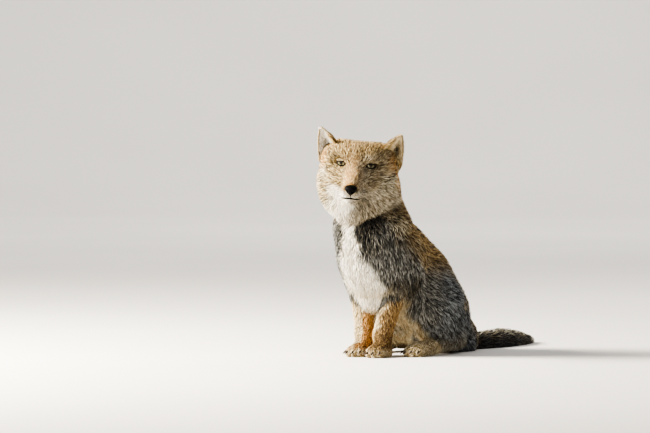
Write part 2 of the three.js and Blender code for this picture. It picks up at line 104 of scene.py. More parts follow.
# depth of the coat, length, width and spacing of its locks, the way the hair lies as
# (x, y, z) in the body, and the share of "away from the nose" in it on the head
COATS = {
    "muzzle": (2.0, 4.6, 0.95, 1.2, (0, 0, 0), 1.0),
    "brow": (3.5, 7.0, 1.1, 1.4, (0, 0, 0), 1.0),
    "crown": (7.0, 12.0, 1.35, 1.75, (0, 0, 0), 1.0),
    "cheek": (12.0, 21.0, 1.6, 1.9, (0, 0.1, -0.45), 1.0),
    "chin": (4.0, 8.0, 1.2, 1.5, (0, 0, -0.2), 1.0),
    "throat": (13.0, 24.0, 1.8, 2.1, (0, 0.2, -0.7), 0.6),
    "neck": (14.0, 21.0, 1.8, 2.4, (0, 0.25, -1), 0),
    "breast": (14.0, 25.0, 1.9, 2.4, (0, 0.03, -1), 0),
    "back": (14.0, 19.0, 1.7, 2.35, (0, 0.62, -0.8), 0),
    "shoulder": (11.0, 17.0, 1.7, 2.3, (0, 0.12, -1), 0),
    "foreleg": (4.5, 9.0, 1.4, 2.1, (0, 0.05, -1), 0),
    "paw": (2.5, 5.5, 1.2, 1.95, (0, -0.9, -0.35), 0),
    "thigh": (12.0, 17.0, 1.7, 2.35, (0, 0.5, -0.85), 0),
    "shank": (7.0, 12.0, 1.6, 2.1, (0, 0.75, -0.65), 0),
    "hock": (4.0, 8.0, 1.4, 2.2, (0, -1, -0.1), 0),
    "rump": (13.0, 19.0, 1.8, 2.4, (0, 0.5, -0.85), 0),
    "tail": (13.0, 27.0, 2.0, 2.4, (0, 1, -0.04), 0),
    "tip": (5.0, 22.0, 1.8, 2.2, (-0.1, 1, 0), 0),
}
COAT_ORDER = list(COATS)
coat_table = np.array([[d, l, w, *lie, head] for d, l, w, _, lie, head in COATS.values()], np.float32)
spacing_table = np.array([row[3] for row in COATS.values()])


def ellipsoid(centre, radii, tilt=0):
    """About the distance to an ellipsoid, turned about X by tilt degrees: with n the
    length of (p - centre) / radii, it is n (n - 1) over the slope of n."""
    c, s = np.cos(np.radians(tilt)), np.sin(np.radians(tilt))

    def field(x, y, z):
        ry, rz = y - centre[1], z - centre[2]
        dx = (x - centre[0]) / radii[0]
        dy = (ry * c + rz * s) / radii[1]
        dz = (rz * c - ry * s) / radii[2]
        near = np.sqrt(dx * dx + dy * dy + dz * dz)
        steep = np.sqrt((dx / radii[0]) ** 2 + (dy / radii[1]) ** 2 + (dz / radii[2]) ** 2)
        return near * (near - 1) / np.maximum(steep, 1e-5)

    return field


def taper(start, end, radius0, radius1):
    """The distance to the line from start to end less a radius that runs evenly along it."""
    a = np.array(start, float)
    along = np.array(end, float) - a
    size = along @ along

    def field(x, y, z):
        px, py, pz = x - a[0], y - a[1], z - a[2]
        t = np.clip((px * along[0] + py * along[1] + pz * along[2]) / size, 0, 1)
        gap = np.sqrt((px - along[0] * t) ** 2 + (py - along[1] * t) ** 2 + (pz - along[2] * t) ** 2)
        return gap - (radius0 + (radius1 - radius0) * t)

    return field


FOREPAW = {"x": 22, "y": 6, "width": 36, "length": 58, "height": 27}
HINDPAW = {"x": 60, "y": 70, "width": 38, "length": 62, "height": 27}
ELBOW, WRIST, KNEE, HOCK = (34.5, 29, 112), (20, 16, 38), (60, 98, 84), (62, 180, 24)
TOE_ANGLES = (-21, -7, 7, 21)
TAIL_POINTS = np.array([(0, 256, 11), (8, 318, 4), (10, 388, 7), (2, 450, 4), (-10, 515, 3)], float)
TAIL_RADII = (25, 26, 26, 21, 8)


def on_toe(paw, angle, past):
    """A place past the root of a toe, on the line along which it fans out."""
    reach = paw["length"] * (0.6 if abs(angle) > 15 else 0.69) + past
    a = np.radians(angle)
    return paw["x"] + reach * np.sin(a), paw["y"] + paw["length"] * 0.33 - reach * np.cos(a)


def paw_forms(paw):
    """The paw's low dome and its four toes."""
    dome = ellipsoid((paw["x"], paw["y"], 8), (paw["width"] / 2, paw["length"] / 2, paw["height"] - 8))
    toes = [(ellipsoid((*on_toe(paw, a, 0), 7), (6.5, 11, 12.5)), 3, "paw") for a in TOE_ANGLES]
    return [(dome, 8, "paw"), *toes]


def along_tail(t):
    """The centripetal Catmull-Rom curve through the tail's points, at t from 0 to 1: a
    Hermite span whose slopes come from steps as long as the root of each gap."""
    p = TAIL_POINTS
    p = np.vstack([2 * p[0] - p[1], p, 2 * p[-1] - p[-2]])
    u = min(t * (len(p) - 3), len(p) - 3 - 1e-9)
    k = int(u)
    q = p[k : k + 4]
    gaps = np.sqrt(np.linalg.norm(np.diff(q, axis=0), axis=1))
    f = u - k
    s1 = ((q[1] - q[0]) / gaps[0] - (q[2] - q[0]) / (gaps[0] + gaps[1]) + (q[2] - q[1]) / gaps[1]) * gaps[1]
    s2 = ((q[2] - q[1]) / gaps[1] - (q[3] - q[1]) / (gaps[1] + gaps[2]) + (q[3] - q[2]) / gaps[2]) * gaps[1]
    ends = q[1] * (2 * f**3 - 3 * f**2 + 1) + q[2] * (3 * f**2 - 2 * f**3)
    return ends + s1 * (f**3 - 2 * f**2 + f) + s2 * (f**3 - f**2)


def tail_forms(pieces=12, tip_from=10):
    """The tail as a chain of tapers along its curve."""
    ts = np.linspace(0, 1, pieces + 1)
    radii = np.interp(ts, np.linspace(0, 1, len(TAIL_RADII)), TAIL_RADII)
    spine = [along_tail(t) for t in ts]
    chain = [taper(spine[k], spine[k + 1], radii[k], radii[k + 1]) for k in range(pieces)]
    return [(one, 8, "tail" if k < tip_from else "tip") for k, one in enumerate(chain)]


TORSO = [
    (ellipsoid((0, 80, 161), (67, 99, 81), -42), 0, "back"),
    (ellipsoid((0, 12, 190), (67, 66, 76)), 34, "breast"),
    (ellipsoid((0, 20, 120), (31, 36, 44)), 20, "breast"),
    (ellipsoid((0, 13, 233), (76, 61, 50)), 24, "neck"),
    (taper((0, 14, 250), (4, 2, 300), 56, 54), 24, "neck"),
    (ellipsoid((0, 145, 126), (69, 67, 71)), 34, "back"),
    (ellipsoid((0, 193, 56), (66, 62, 62)), 30, "rump"),
    (ellipsoid((0, 235, 21), (60, 58, 54)), 26, "rump"),
]
LIMBS = [  # the left side's, and by mirroring the right side's
    (ellipsoid((45, 43, 166), (32, 42, 58), -12), 26, "shoulder"),
    (taper((45, 42, 140), ELBOW, 30, 21), 16, "shoulder"),
    (taper(ELBOW, WRIST, 22, 17), 12, "foreleg"),
    (taper(WRIST, (FOREPAW["x"], FOREPAW["y"] + 10, 15), 17, 14.5), 8, "paw"),
    *paw_forms(FOREPAW),
    (ellipsoid((45, 149, 76), (36, 70, 60), 8), 34, "thigh"),
    (ellipsoid((44, 90, 116), (34, 38, 44)), 24, "thigh"),
    (taper((50, 142, 80), KNEE, 44, 32), 26, "thigh"),
    (taper(KNEE, HOCK, 30, 18), 14, "shank"),
    (taper(HOCK, (HINDPAW["x"], HINDPAW["y"] + 18, 13), 17, 15), 10, "hock"),
    *paw_forms(HINDPAW),
]
HEAD_FORMS = [  # in the head's own frame, from the skull outwards
    (ellipsoid((0, 42, -9), (62, 52, 36)), 0, "crown"),
    *[(ellipsoid((s * 36, 44, 1), (27, 34, 26)), 16, "crown") for s in (1, -1)],
    *[(ellipsoid((s * 38, 48, -50), (36, 44, 49)), 18, "cheek") for s in (1, -1)],
    (ellipsoid((0, 34, -78), (58, 47, 45)), 20, "throat"),
    (ellipsoid((0, 24, 4), (46, 28, 24)), 14, "brow"),
    *[(ellipsoid((s * 24, 7, 8), (17, 11, 8)), 10, "brow") for s in (1, -1)],
    *[(ellipsoid((s * 23, 16, -34), (25, 30, 25)), 14, "brow") for s in (1, -1)],
    (taper((0, 8, -12), (0, -54, -26), 26, 13.5), 14, "muzzle"),
    *[(ellipsoid((s * 9.5, -50, -34), (12, 18, 11)), 8, "muzzle") for s in (1, -1)],
    (taper((0, 14, -52), (0, -43, -49), 26, 9.5), 14, "chin"),
]
EYE_HOLLOWS = [ellipsoid((s * 30, -9, 0), (13.5, 12, 7.5)) for s in (1, -1)]
TAIL = tail_forms()


def blended(a, b, fillet):
    """The smooth union of two forms by a fillet r: min(a, b) - h h r / 4 with
    h = max(0, 1 - |a - b| / r)."""
    h = np.maximum(0, fillet - np.abs(a - b)) / max(fillet, 1e-6)
    return np.minimum(a, b) - h * h * fillet / 4


def fox(points, chunk=30000):
    """The fox's outer form at the coat's tips, the smooth union of all forms, and the
    share of each coat there, which falls off with the distance d from its forms as
    exp(-d / 12)."""
    points = np.asarray(points, np.float32)
    if len(points) > chunk:
        parts = [fox(part, chunk) for part in np.array_split(points, len(points) // chunk + 1)]
        return np.concatenate([a for a, _ in parts]), np.concatenate([b for _, b in parts])
    x, y, z = points.T
    shares = np.zeros((len(COAT_ORDER), len(points)), np.float32)

    def joined(total, forms, *at):
        for field, fillet, coat in forms:
            one = field(*at)
            shares[COAT_ORDER.index(coat)] += np.exp(-np.clip(one, -70, 300) / 12)
            total = one if total is None else blended(total, one, fillet)
        return total

    body = joined(None, TORSO, x, y, z)
    body = joined(body, LIMBS, np.abs(x), y, z)
    body = joined(body, TAIL, x, y, z)
    hx, hy, hz = ((points - EYES.astype(np.float32)) @ head_axes.astype(np.float32)).T
    head = joined(None, HEAD_FORMS, hx, hy, hz)
    for hollow in EYE_HOLLOWS:
        head = -blended(-head, hollow(hx, hy, hz), 6)
    return blended(body, head, 8), (shares / np.maximum(shares.sum(0), 1e-12)).T


def below_tips(points, rise=0.0):
    """Zero on the skin for rise 0 and at the coat's tips for rise 1."""
    form, shares = fox(points)
    return form + shares @ coat_table[:, 0] * (1 - rise)


def uphill(points, step=0.6):
    """The outward unit normal of the form and how fast the form grows along it."""
    here = fox(points)[0]
    ahead = [fox(points + way * step)[0] - here for way in np.eye(3, dtype=np.float32)]
    slope = np.stack(ahead, 1) / step
    steep = np.linalg.norm(slope, axis=1, keepdims=True)
    return slope / np.maximum(steep, 1e-6), np.maximum(steep, 0.3)


def settled(points, rise=0.0, times=1, limit=4.0, down=None):
    """Points moved straight up or down the form until they lie at the given rise."""
    for _ in range(times):
        normal, steep = uphill(points)
        fall = limit if down is None else down[:, None]
        move = np.clip(below_tips(points, rise)[:, None] / steep, -limit, fall)
        points = points - move * normal
    return points, normal


def surface_net(low, high, cell):
    """The skin as a net: one vertex in each grid cell that it crosses, at the mean of
    the crossings on the cell's edges, and one quad round each crossed grid edge."""
    axes = [np.arange(a - cell, b + 2 * cell, cell, dtype=np.float32) for a, b in zip(low, high)]
    shape = tuple(len(a) for a in axes)
    gx, gy = np.meshgrid(axes[0], axes[1], indexing="ij")
    values = np.empty(shape, np.float32)
    for k, z in enumerate(axes[2]):
        slab = np.stack([gx.ravel(), gy.ravel(), np.full(gx.size, z, np.float32)], 1)
        values[:, :, k] = np.maximum(below_tips(slab), -z).reshape(gx.shape)
    inside = values < 0
    corners = [(c & 1, (c >> 1) & 1, c >> 2) for c in range(8)]
    windows = [tuple(slice(o, n - 1 + o) for o, n in zip(c, shape)) for c in corners]
    count = sum(inside[window].astype(np.int8) for window in windows)
    cells = np.argwhere((count > 0) & (count < 8))
    at = np.stack([values[tuple((cells + c).T)] for c in corners], 1)
    total, crossings = np.zeros((len(cells), 3)), np.zeros((len(cells), 1))
    for m, a in enumerate(corners):
        for n, b in enumerate(corners):
            if n > m and sum(abs(p - q) for p, q in zip(a, b)) == 1:
                crossed = ((at[:, m] < 0) != (at[:, n] < 0))[:, None]
                t = (at[:, m] / np.where(crossed[:, 0], at[:, m] - at[:, n], 1))[:, None]
                total += crossed * (np.array(a) + (np.array(b) - np.array(a)) * t)
                crossings += crossed
    start = np.array([a[0] for a in axes])
    points = start + cell * (cells + total / crossings)
    index = np.full(shape, -1)
    index[tuple(cells.T)] = np.arange(len(cells))
    quads = []
    step = np.eye(3, dtype=int)
    core = tuple(slice(1, n - 1) for n in shape)
    for axis in range(3):
        ahead = tuple(slice(1 + o, n - 1 + o) for o, n in zip(step[axis], shape))
        flips = np.argwhere(inside[core] != inside[ahead]) + 1
        u, v = step[(axis + 1) % 3], step[(axis + 2) % 3]
        round_edge = [flips - u * m - v * n for m, n in ((0, 0), (1, 0), (1, 1), (0, 1))]
        ring = np.stack([index[tuple(cell_at.T)] for cell_at in round_edge], 1)
        outward = inside[tuple(flips.T)]
        quads.append(np.where(outward[:, None], ring, ring[:, ::-1]))
    return points, np.concatenate(quads)


skin_points, skin_quads = surface_net((-100, -168, -6), (116, 530, 400), SKIN_CELL)
on_floor = skin_points[:, 2] < 0.4
lifted = settled(skin_points, times=2, limit=SKIN_CELL / 2)[0]
skin_points = np.where(on_floor[:, None], skin_points, lifted)
skin_points[:, 2] = np.maximum(skin_points[:, 2], 0)
print("skin", len(skin_points), "points", len(skin_quads), "quads")


def unit(vectors):
    """Vectors at unit length."""
    return vectors / np.maximum(np.linalg.norm(vectors, axis=-1, keepdims=True), 1e-9)


# The ears are cupped leaves of thin hide that stand on the corners of the head.
EAR_ROOT, EAR_TIP = np.array([56.5, 40.0, 4.0]), np.array([70.5, 30.0, 52.0])
EAR_ACROSS = unit(np.array([0.57, 0.36, -0.74]))  # from the inner to the outer corner of the base
EAR_HALF_WIDTH, EAR_CUP, EAR_WALL, EAR_SHIFT = 27.0, 10.0, 5.0, 2.5
EAR_HIDE = 0.34  # the hide's share of the wall, the rest being coat
EAR_FOOT, EAR_END = -0.28, 0.985  # where the hide starts, inside the head, and stops
EAR_ROWS, EAR_COLUMNS = 34, 26
ear_length = np.linalg.norm(EAR_TIP - EAR_ROOT)
ear_axis = unit(EAR_TIP - EAR_ROOT)
ear_back = unit(np.cross(ear_axis, EAR_ACROSS))


def ear_leaf(side, s, v, face):
    """A place on an ear's hide: s from -1 at the inner to 1 at the outer rim, v from the
    base to the tip, face 0 in front and 1 behind. Its width falls as (1 - v) to a power,
    and it bows back midway by the cup's depth."""
    low = np.clip(v, 0, 1)
    width = EAR_HALF_WIDTH * (1 - low) ** np.where(s > 0, 0.66, 0.9) * (1 + 0.28 * low)
    edge = s * s
    thick = EAR_WALL * EAR_HIDE * (1 - 0.6 * low) * (1 - 0.55 * edge)
    cup = EAR_CUP * (1 - low * low) * (1 - edge)
    up_it, across, back = (a[..., None] for a in (ear_length * v, width * s, cup + thick * (face - 0.5)))
    local = EAR_ROOT + up_it * ear_axis + across * EAR_ACROSS + back * ear_back
    return from_head(local * [side, 1, 1] + [EAR_SHIFT, 0, 0])


def ear_skin(side):
    """Front and back of the leaf as one closed sleeve that narrows to its tip."""
    v = np.linspace(EAR_FOOT, EAR_END, EAR_ROWS)[:, None]
    s = np.linspace(-1, 1, EAR_COLUMNS)
    face = np.repeat([0.0, 1.0], EAR_COLUMNS)
    return ear_leaf(side, *np.broadcast_arrays(np.concatenate([s, s[::-1]]), v, face))


def ring_quads(rows, columns):
    """Quads between neighbouring rings of a grid that is closed round each ring."""
    index = np.arange(rows * columns).reshape(rows, columns)
    ahead = np.roll(index, -1, axis=1)
    return np.stack([index[:-1], ahead[:-1], ahead[1:], index[1:]], -1).reshape(-1, 4)


def sleeve(points, flip=False):
    """Points and faces of a grid of rings, closed round each ring and capped at both
    ends round the ends' middles."""
    rows, columns = points.shape[:2]
    quads = ring_quads(rows, columns)
    here = np.arange(columns)
    ahead, last, top = np.roll(here, -1), (rows - 1) * columns, rows * columns
    feet = np.stack([ahead, here, 0 * here + top], 1)
    heads = np.stack([here + last, ahead + last, 0 * here + top + 1], 1)
    caps = np.concatenate([feet, heads])
    if flip:
        quads, caps = quads[:, ::-1], caps[:, ::-1]
    return np.concatenate([points.reshape(-1, 3), [points[0].mean(0), points[-1].mean(0)]]), [quads, caps]


# The lids: a ring round each eye whose inner edge is the half-closed opening. From
# that edge it rises over the ball as a thick rim and runs out into the face.
EYE_SIDE, EYE_RADIUS, LOOK_OUT = 25.0, 9.5, 17.0
OPEN_HALF, OPEN_UP, OPEN_DOWN, OPEN_SLANT = 8.8, 2.3, 3.3, -5.0
LID_STEPS = np.array([-0.6, 0.0, 0.6, 1.5, 2.4, 3.4, 4.6, 6.0, 7.6, 9.2])  # out from the opening


def eye_frame(side):
    """The ball's centre and its lateral, upward and outward axes, in the fox's frame."""
    c, s = np.cos(np.radians(LOOK_OUT)), np.sin(np.radians(LOOK_OUT))
    centre = from_head([side * EYE_SIDE, EYE_BACK, 0])
    turn, out = np.array([side * c, s, 0]), np.array([side * s, -c, 0])
    slant = np.radians(OPEN_SLANT)
    lateral = turn * np.cos(slant) + np.array([0, 0, 1]) * np.sin(slant)
    upward = np.array([0, 0, 1]) * np.cos(slant) - turn * np.sin(slant)
    return centre, head_axes @ lateral, head_axes @ upward, head_axes @ out


def seen_from_eye(points, side):
    """Places as millimetres across, up and out from the ball's centre."""
    centre, lateral, upward, out = eye_frame(side)
    off = points - centre
    return off @ lateral, off @ upward, off @ out


def opening(theta, step):
    """The almond between the lids, swollen by a step: across as cos, the height as a
    power of sin that is flat on the upper lid."""
    c, s = np.cos(theta), np.sin(theta)
    power = np.where(s > 0, 0.62, 0.85)
    q = np.sign(s) * np.abs(s) ** power * np.where(s > 0, OPEN_UP, OPEN_DOWN)
    p = OPEN_HALF * c
    return p + step * c, q + step * np.sign(s) * np.abs(s) ** 0.8


def lid_skin(side, columns=72):
    """Rings of the lid: on the ball at the opening, over it along a rim, and out to
    where a ray from the ball meets the skin."""
    theta = np.linspace(0, 2 * np.pi, columns, endpoint=False)[None, :]
    step = LID_STEPS[:, None]
    p, q = opening(theta, np.maximum(step, 0))
    centre, lateral, upward, out = eye_frame(side)
    above = np.interp(LID_STEPS, [-0.6, 0, 0.6, 1.5, 9.2], [-0.35, 0.55, 1.0, 1.15, 1.3])[:, None]
    ball = np.sqrt(np.maximum((EYE_RADIUS + above) ** 2 - p**2 - q**2, 4.0))
    base = centre + p[..., None] * lateral + q[..., None] * upward
    t = np.full(p.shape, 16.0)
    for _ in range(14):
        here = base + t[..., None] * out
        gap = below_tips(here.reshape(-1, 3)).reshape(t.shape)
        t = np.maximum(t - np.clip(gap, -3, 3) * 0.9, -2)
    share = np.clip((step - 1.2) / 7.0, 0, 1)
    share = share * share * (3 - 2 * share)
    fold = 0.55 * np.exp(-(((step - 3.4) / 0.8) ** 2)) * np.maximum(np.sin(theta), 0) ** 0.5
    depth = ball * (1 - share) + (t - 0.25 * (step > 9)) * share - fold
    return base + depth[..., None] * out


def mesh_piece(name, points, faces, material):
    """One Blender mesh from arrays of points, in frame metres, and lists of faces."""
    mesh = bpy.data.meshes.new(name)
    sizes = np.concatenate([np.full(len(f), f.shape[1]) for f in faces])
    loops = np.concatenate([f.ravel() for f in faces])
    mesh.vertices.add(len(points))
    mesh.vertices.foreach_set("co", np.asarray(points, np.float32).ravel())
    mesh.loops.add(len(loops))
    mesh.loops.foreach_set("vertex_index", loops.astype(np.int32))
    mesh.polygons.add(len(sizes))
    mesh.polygons.foreach_set("loop_start", np.concatenate([[0], np.cumsum(sizes)[:-1]]).astype(np.int32))
    mesh.update(calc_edges=True)
    mesh.polygons.foreach_set("use_smooth", np.ones(len(sizes), bool))
    mesh.materials.append(material)
    piece = bpy.data.objects.new(name, mesh)
    bpy.context.scene.collection.objects.link(piece)
    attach(piece, "root")
    return piece


def paint(piece, colours):
    """Gives a piece one linear colour at each of its points."""
    layer = piece.data.color_attributes.new("hair_colour", "FLOAT_COLOR", "POINT")
    rgba = np.ones((len(colours), 4), np.float32)
    rgba[:, :3] = colours
    layer.data.foreach_set("color", rgba.ravel())


def point_normals(points, faces):
    """The mean of the faces' normals at each point."""
    total = np.zeros((len(points), 3))
    for f in faces:
        a, b, c = points[f[:, 0]], points[f[:, 1]], points[f[:, 2]]
        n = np.cross(b - a, c - a)
        if f.shape[1] == 4:
            n = n + np.cross(c - a, points[f[:, 3]] - a)
        for k in range(f.shape[1]):
            for axis in range(3):
                total[:, axis] += np.bincount(f[:, k], n[:, axis], len(points))
    return total / np.maximum(np.linalg.norm(total, axis=1, keepdims=True), 1e-9)


# The coat's colours in screen levels from 0 to 255: underfur, middle, pale hairs and
# dark hairs, and then how many tufts are pale and dark.
HAIRS = {
    "grey": ((57, 57, 54), (111, 111, 107), (172, 171, 165), (46, 46, 44), 0.27, 0.31),
    "slate": ((58, 61, 63), (114, 119, 122), (176, 181, 183), (46, 49, 51), 0.27, 0.31),
    "ochre": ((76, 59, 31), (150, 121, 70), (214, 184, 126), (58, 46, 24), 0.3, 0.32),
    "sand": ((96, 76, 42), (188, 156, 102), (234, 210, 160), (108, 84, 46), 0.32, 0.24),
    "olive": ((88, 73, 45), (160, 137, 90), (214, 195, 150), (90, 72, 42), 0.28, 0.28),
    "peach": ((150, 116, 70), (222, 184, 128), (242, 218, 172), (180, 138, 84), 0.3, 0.16),
    "tan": ((120, 84, 38), (204, 154, 86), (234, 196, 134), (126, 88, 44), 0.25, 0.22),
    "orange": ((146, 102, 54), (218, 168, 108), (238, 200, 144), (160, 110, 60), 0.25, 0.15),
    "gold": ((84, 66, 38), (148, 118, 74), (194, 164, 116), (102, 78, 44), 0.25, 0.28),
    "grizzle": ((96, 87, 66), (182, 171, 141), (236, 228, 204), (70, 62, 44), 0.36, 0.28),
    "fawn": ((108, 97, 78), (175, 162, 138), (224, 213, 190), (116, 102, 78), 0.3, 0.26),
    "white": ((206, 198, 178), (244, 239, 225), (254, 252, 246), (224, 216, 196), 0.4, 0.18),
    "cream": ((168, 146, 104), (232, 214, 176), (247, 236, 208), (198, 172, 126), 0.3, 0.2),
    "black": ((16, 15, 11), (36, 33, 26), (78, 72, 58), (13, 12, 10), 0.14, 0.42),
    "silver": ((90, 86, 74), (170, 163, 142), (226, 219, 198), (58, 54, 45), 0.4, 0.25),
    "umber": ((34, 30, 21), (68, 61, 44), (124, 112, 84), (28, 25, 17), 0.24, 0.32),
}
HAIR_ORDER = list(HAIRS)
RUFF = ellipsoid((0, 40, -72), (60, 50, 52))  # the mass of throat and cheeks, in the head's frame


def linear(*levels):
    """Screen levels from 0 to 255 as linear light."""
    c = np.array(levels) / 255
    return np.where(c < 0.04045, c / 12.92, ((c + 0.055) / 1.055) ** 2.4)


hair_table = np.array([[*linear(*row[:4]).ravel(), *row[4:]] for row in HAIRS.values()])


def hair_tones(cover):
    """Underfur, middle, pale and dark colours and the two shares at each place."""
    return np.split(cover @ hair_table, [3, 6, 9, 12, 13], axis=1)


def ramp(value, low, high):
    """A smooth step from 0 at low to 1 at high, or down where high is under low."""
    t = np.clip((value - low) / (high - low), 0, 1)
    return t * t * (3 - 2 * t)


def drift(points, size, seed):
    """Slow waves from about -1 to 1: the mean of six sines of random directions, of
    about the size given in millimetres."""
    rng = np.random.default_rng(seed)
    waves = rng.normal(size=(6, 3))
    waves *= (2 * np.pi / size / np.linalg.norm(waves, axis=1) * rng.uniform(0.7, 1.5, 6))[:, None]
    return np.sin(points @ waves.T + rng.uniform(0, 6.28, 6)).sum(1) / 2.4


def markings(points, normals):
    """How much of each coat colour grows at a place: one colour after another is laid
    over the ones before it, each inside its own soft-edged marking. Some of the
    markings are painted shade and painted light, as the comments at them say."""
    x, y, z = points.T
    nx, ny, nz = normals.T
    side = np.abs(x)
    hx, hy, hz = ((points - EYES) @ head_axes).T
    hs = np.abs(hx)
    part = dict(zip(COAT_ORDER, fox(points)[1].T))
    edge = 4 * drift(points, 38, 1) + 3 * drift(points, 13, 2) + 1.5 * drift(points, 6, 3)
    cover = np.zeros((len(points), len(HAIR_ORDER)))
    cover[:, 0] = 1

    def lay(name, share, *steps):
        """Lays a colour by a share times smooth steps, each a value, a low and a high."""
        for step in steps:
            share = share * ramp(*step)
        m = np.clip(share, 0, 1)[:, None]
        cover[:] = cover * (1 - m)
        cover[:, HAIR_ORDER.index(name)] += m[:, 0]

    head = ramp(sum(part[k] for k in ("muzzle", "brow", "crown", "cheek", "chin", "throat")), 0.38, 0.62)
    tail = ramp(y, 268, 284)
    lay("slate", 1, (y - 0.35 * z + edge, 40, 90))
    # the back from the nape to the tail is ochre, and so is a veil over the shoulders
    top = 0.75 * ny + 0.66 * nz
    lay("ochre", 0.5, (side + edge, 66, 34), (top, 0.0, 0.5))
    lay("ochre", 1, (side + edge, 50, 18), (top, 0.05, 0.45), (y + 0.3 * z, 50, 100))
    lay("ochre", 0.8 * (1 - tail), (ny + 0.03 * edge, 0.36, 0.6), (z + edge, 78, 108))
    lay("ochre", 0.55 * (1 - head), (y + 0.8 * z + 1.5 * edge, 176, 210), (z + edge, 142, 180))
    # breast: dark beside the white stripe, near black right under the ruff. Much of this dark is painted
    # shadow of the ruff, and it reaches further and deeper on the left, which is turned from the light
    front = ramp(ny, 0.3, -0.15) * ramp(y, 60, 30)
    reach, strength = np.where(x > 0, 52, 32), np.where(x > 0, 0.9, 0.6)
    shaded_side = np.where(x > 0, 1, ramp(y, 24, 44))  # painted shade: full on the left, and on the right only behind the front, where the light from the left falls
    lay("umber", 0.6 * front, (z + 1.5 * edge, 184, 222), (side + edge, reach, reach - 18))
    # painted shade deepens the dark fur of the crease behind the shoulder
    crease_shade = (z + edge, 160, 140), (z + edge, 84, 98), (side + edge, 34, 48), (y, 62, 46)
    lay("umber", 0.8 * shaded_side, *crease_shade)
    # painted shadow under the ruff, in black here and in the next mark, deeper on the left
    under_ruff = RUFF(hx, hy, hz)
    lay("black", strength, (under_ruff + edge, 29, 11), (ny, 0.15, -0.2), (side + edge, reach, reach - 16))
    lay("black", 0.6 * front, (z + edge, 186, 220), (side + edge, 36, 24), (x, -8, 8))
    heights = [76, 86, 96, 106, 120, 136, 156, 170, 190, 210, 250]
    half = np.interp(z, heights, [0, 6, 13, 20, 28, 34, 37, 35, 23, 14, 12])
    half = half + 12 * ramp(x, 0, -12) * ramp(z, 166, 150)  # it runs further down the right foreleg
    middle = np.interp(z, [80, 120, 180, 205], [5, 1, 0, -4])
    lay("white", front, (np.abs(x - middle) + 0.8 * edge, half + 3, half - 4), (z, 68, 80))
    lay("grizzle", 0.6 * (1 - head), (x + edge, 48, 62), (z, 224, 238), (y, 34, 12))
    # belly, inner thighs, and the low fore part of the haunches
    lay("cream", 1 - tail, (z + 0.67 * (y - 70) + edge, 62, 50), (y, 30, 44))
    lay("cream", 1 - head, (nz, -0.3, -0.7), (z, 150, 110), (y, 200, 160), (side, 62, 46))
    # legs: gold-brown outside, cream in front, orange within. The cream is partly pale hair and partly
    # painted light, on the sides that face the light from the left
    inner = ramp(np.where(x > 0, nx + 0.6, -nx), 0.1, -0.4)
    fore = ramp(y, 62, 50) * ramp(z + edge + 24 * ramp(side, 36, 14), 112, 102)
    off_middle = side - np.interp(z, [38, 112], [20, 34.5])  # out from the middle of the foreleg
    lay("gold", fore)
    lay("orange", 0.85 * fore * inner, (z, 6, 20))
    # painted light: cream on the inner front edge of the left foreleg and on the outer front of the right
    # one, where they face the light
    lay("cream", fore, (x, 4, 14), (off_middle + 0.5 * edge - 0.12 * (z - 60), -2, -9))
    lay("cream", fore, (x, -4, -14), (0.75 * nx + 0.66 * ny + 0.03 * edge, -0.08, -0.36))
    # painted shade in the fold behind the elbow, between the foreleg and the flank
    fold = (z + edge, 160, 138), (z, 72, 88), (side + 0.45 * y + edge, 64, 76), (y, 66, 52)
    lay("black", 0.75 * shaded_side, *fold)
    lay("cream", 0.8 * part["hock"])
    lay("cream", 1 - tail, (z, 20, 10), (side, 2, 6), (y, 120, 90))
    lay("cream", 1, (z, 44, 36), (y, 34, 42), (y, 112, 98), (side, 26, 34))
    # tail: dark sides, a silver line with faint rings along the top, a white tip
    lay("black", 0.85 * tail)
    lay("silver", tail * (0.75 + 0.25 * np.sin(y / 5.5 + edge * 0.5)), (nz + 0.03 * edge, 0.72, 0.97))
    lay("white", 0.9, (y + edge, 474, 492))
    # head: olive, with a sandy crown and spots over the eyes, and tan behind the cheeks
    lay("olive", head)
    lay("sand", head, (hz + 0.25 * hy + edge, 14, 32))
    lay("sand", 0.5 * head, (np.abs(hs - 20) + edge, 10, 3), (hz, 4, 12))
    # painted shade: a dusky band over the brow between the eyes
    lay("umber", 0.32 * head, (hs + edge, 16, 5), (np.abs(hz - 4), 16, 8), (hy, -30, -16))
    # painted shade tone: a greyer fawn on the left of the brow and face, which is turned from the light
    lay("fawn", 0.6 * head, (hx + edge, 3, 16), (hz + edge, -44, -28), (hz + 0.5 * edge, 20, 8))
    lay("grizzle", 0.8 * head, (hx + 0.5 * edge, 42, 50), (hz, 4, 12), (hy, 26, 36))
    lay("grizzle", head, (hs + 0.35 * hy - 0.75 * hz + edge, 50, 72), (hz, -4, -22))
    lay("tan", head, (hy + 0.4 * hs + edge, 48, 62), (hz, -68, -44), (hz, 26, 8))
    lay("tan", 0.8 * head, (hy + 0.4 * hs + edge, 70, 84), (hz, -96, -66))
    lay("tan", 0.6 * head, (hs, 38, 50), (hz + edge, -26, -12), (hz, 16, 2), (hy, 8, 24))
    # muzzle: peach, with a painted shade tone on its left, which is turned from the light, and a dark streak
    # from the right eye's inner corner
    lay("peach", head, (hs + 0.3 * edge, 17, 9), (hy, -12, -28), (hz + 0.25 * hy, -44, -37))
    lay("peach", 0.6 * head, (hs - 0.2 * hx, 26, 12), (hy, 8, -14), (hz, -36, -26), (hx, 8, 0))
    lay("gold", 0.45 * head, (np.abs(hx - 1) + 0.5 * edge, 15, 5), (np.abs(hz - 2), 17, 8), (hy, -34, -20))
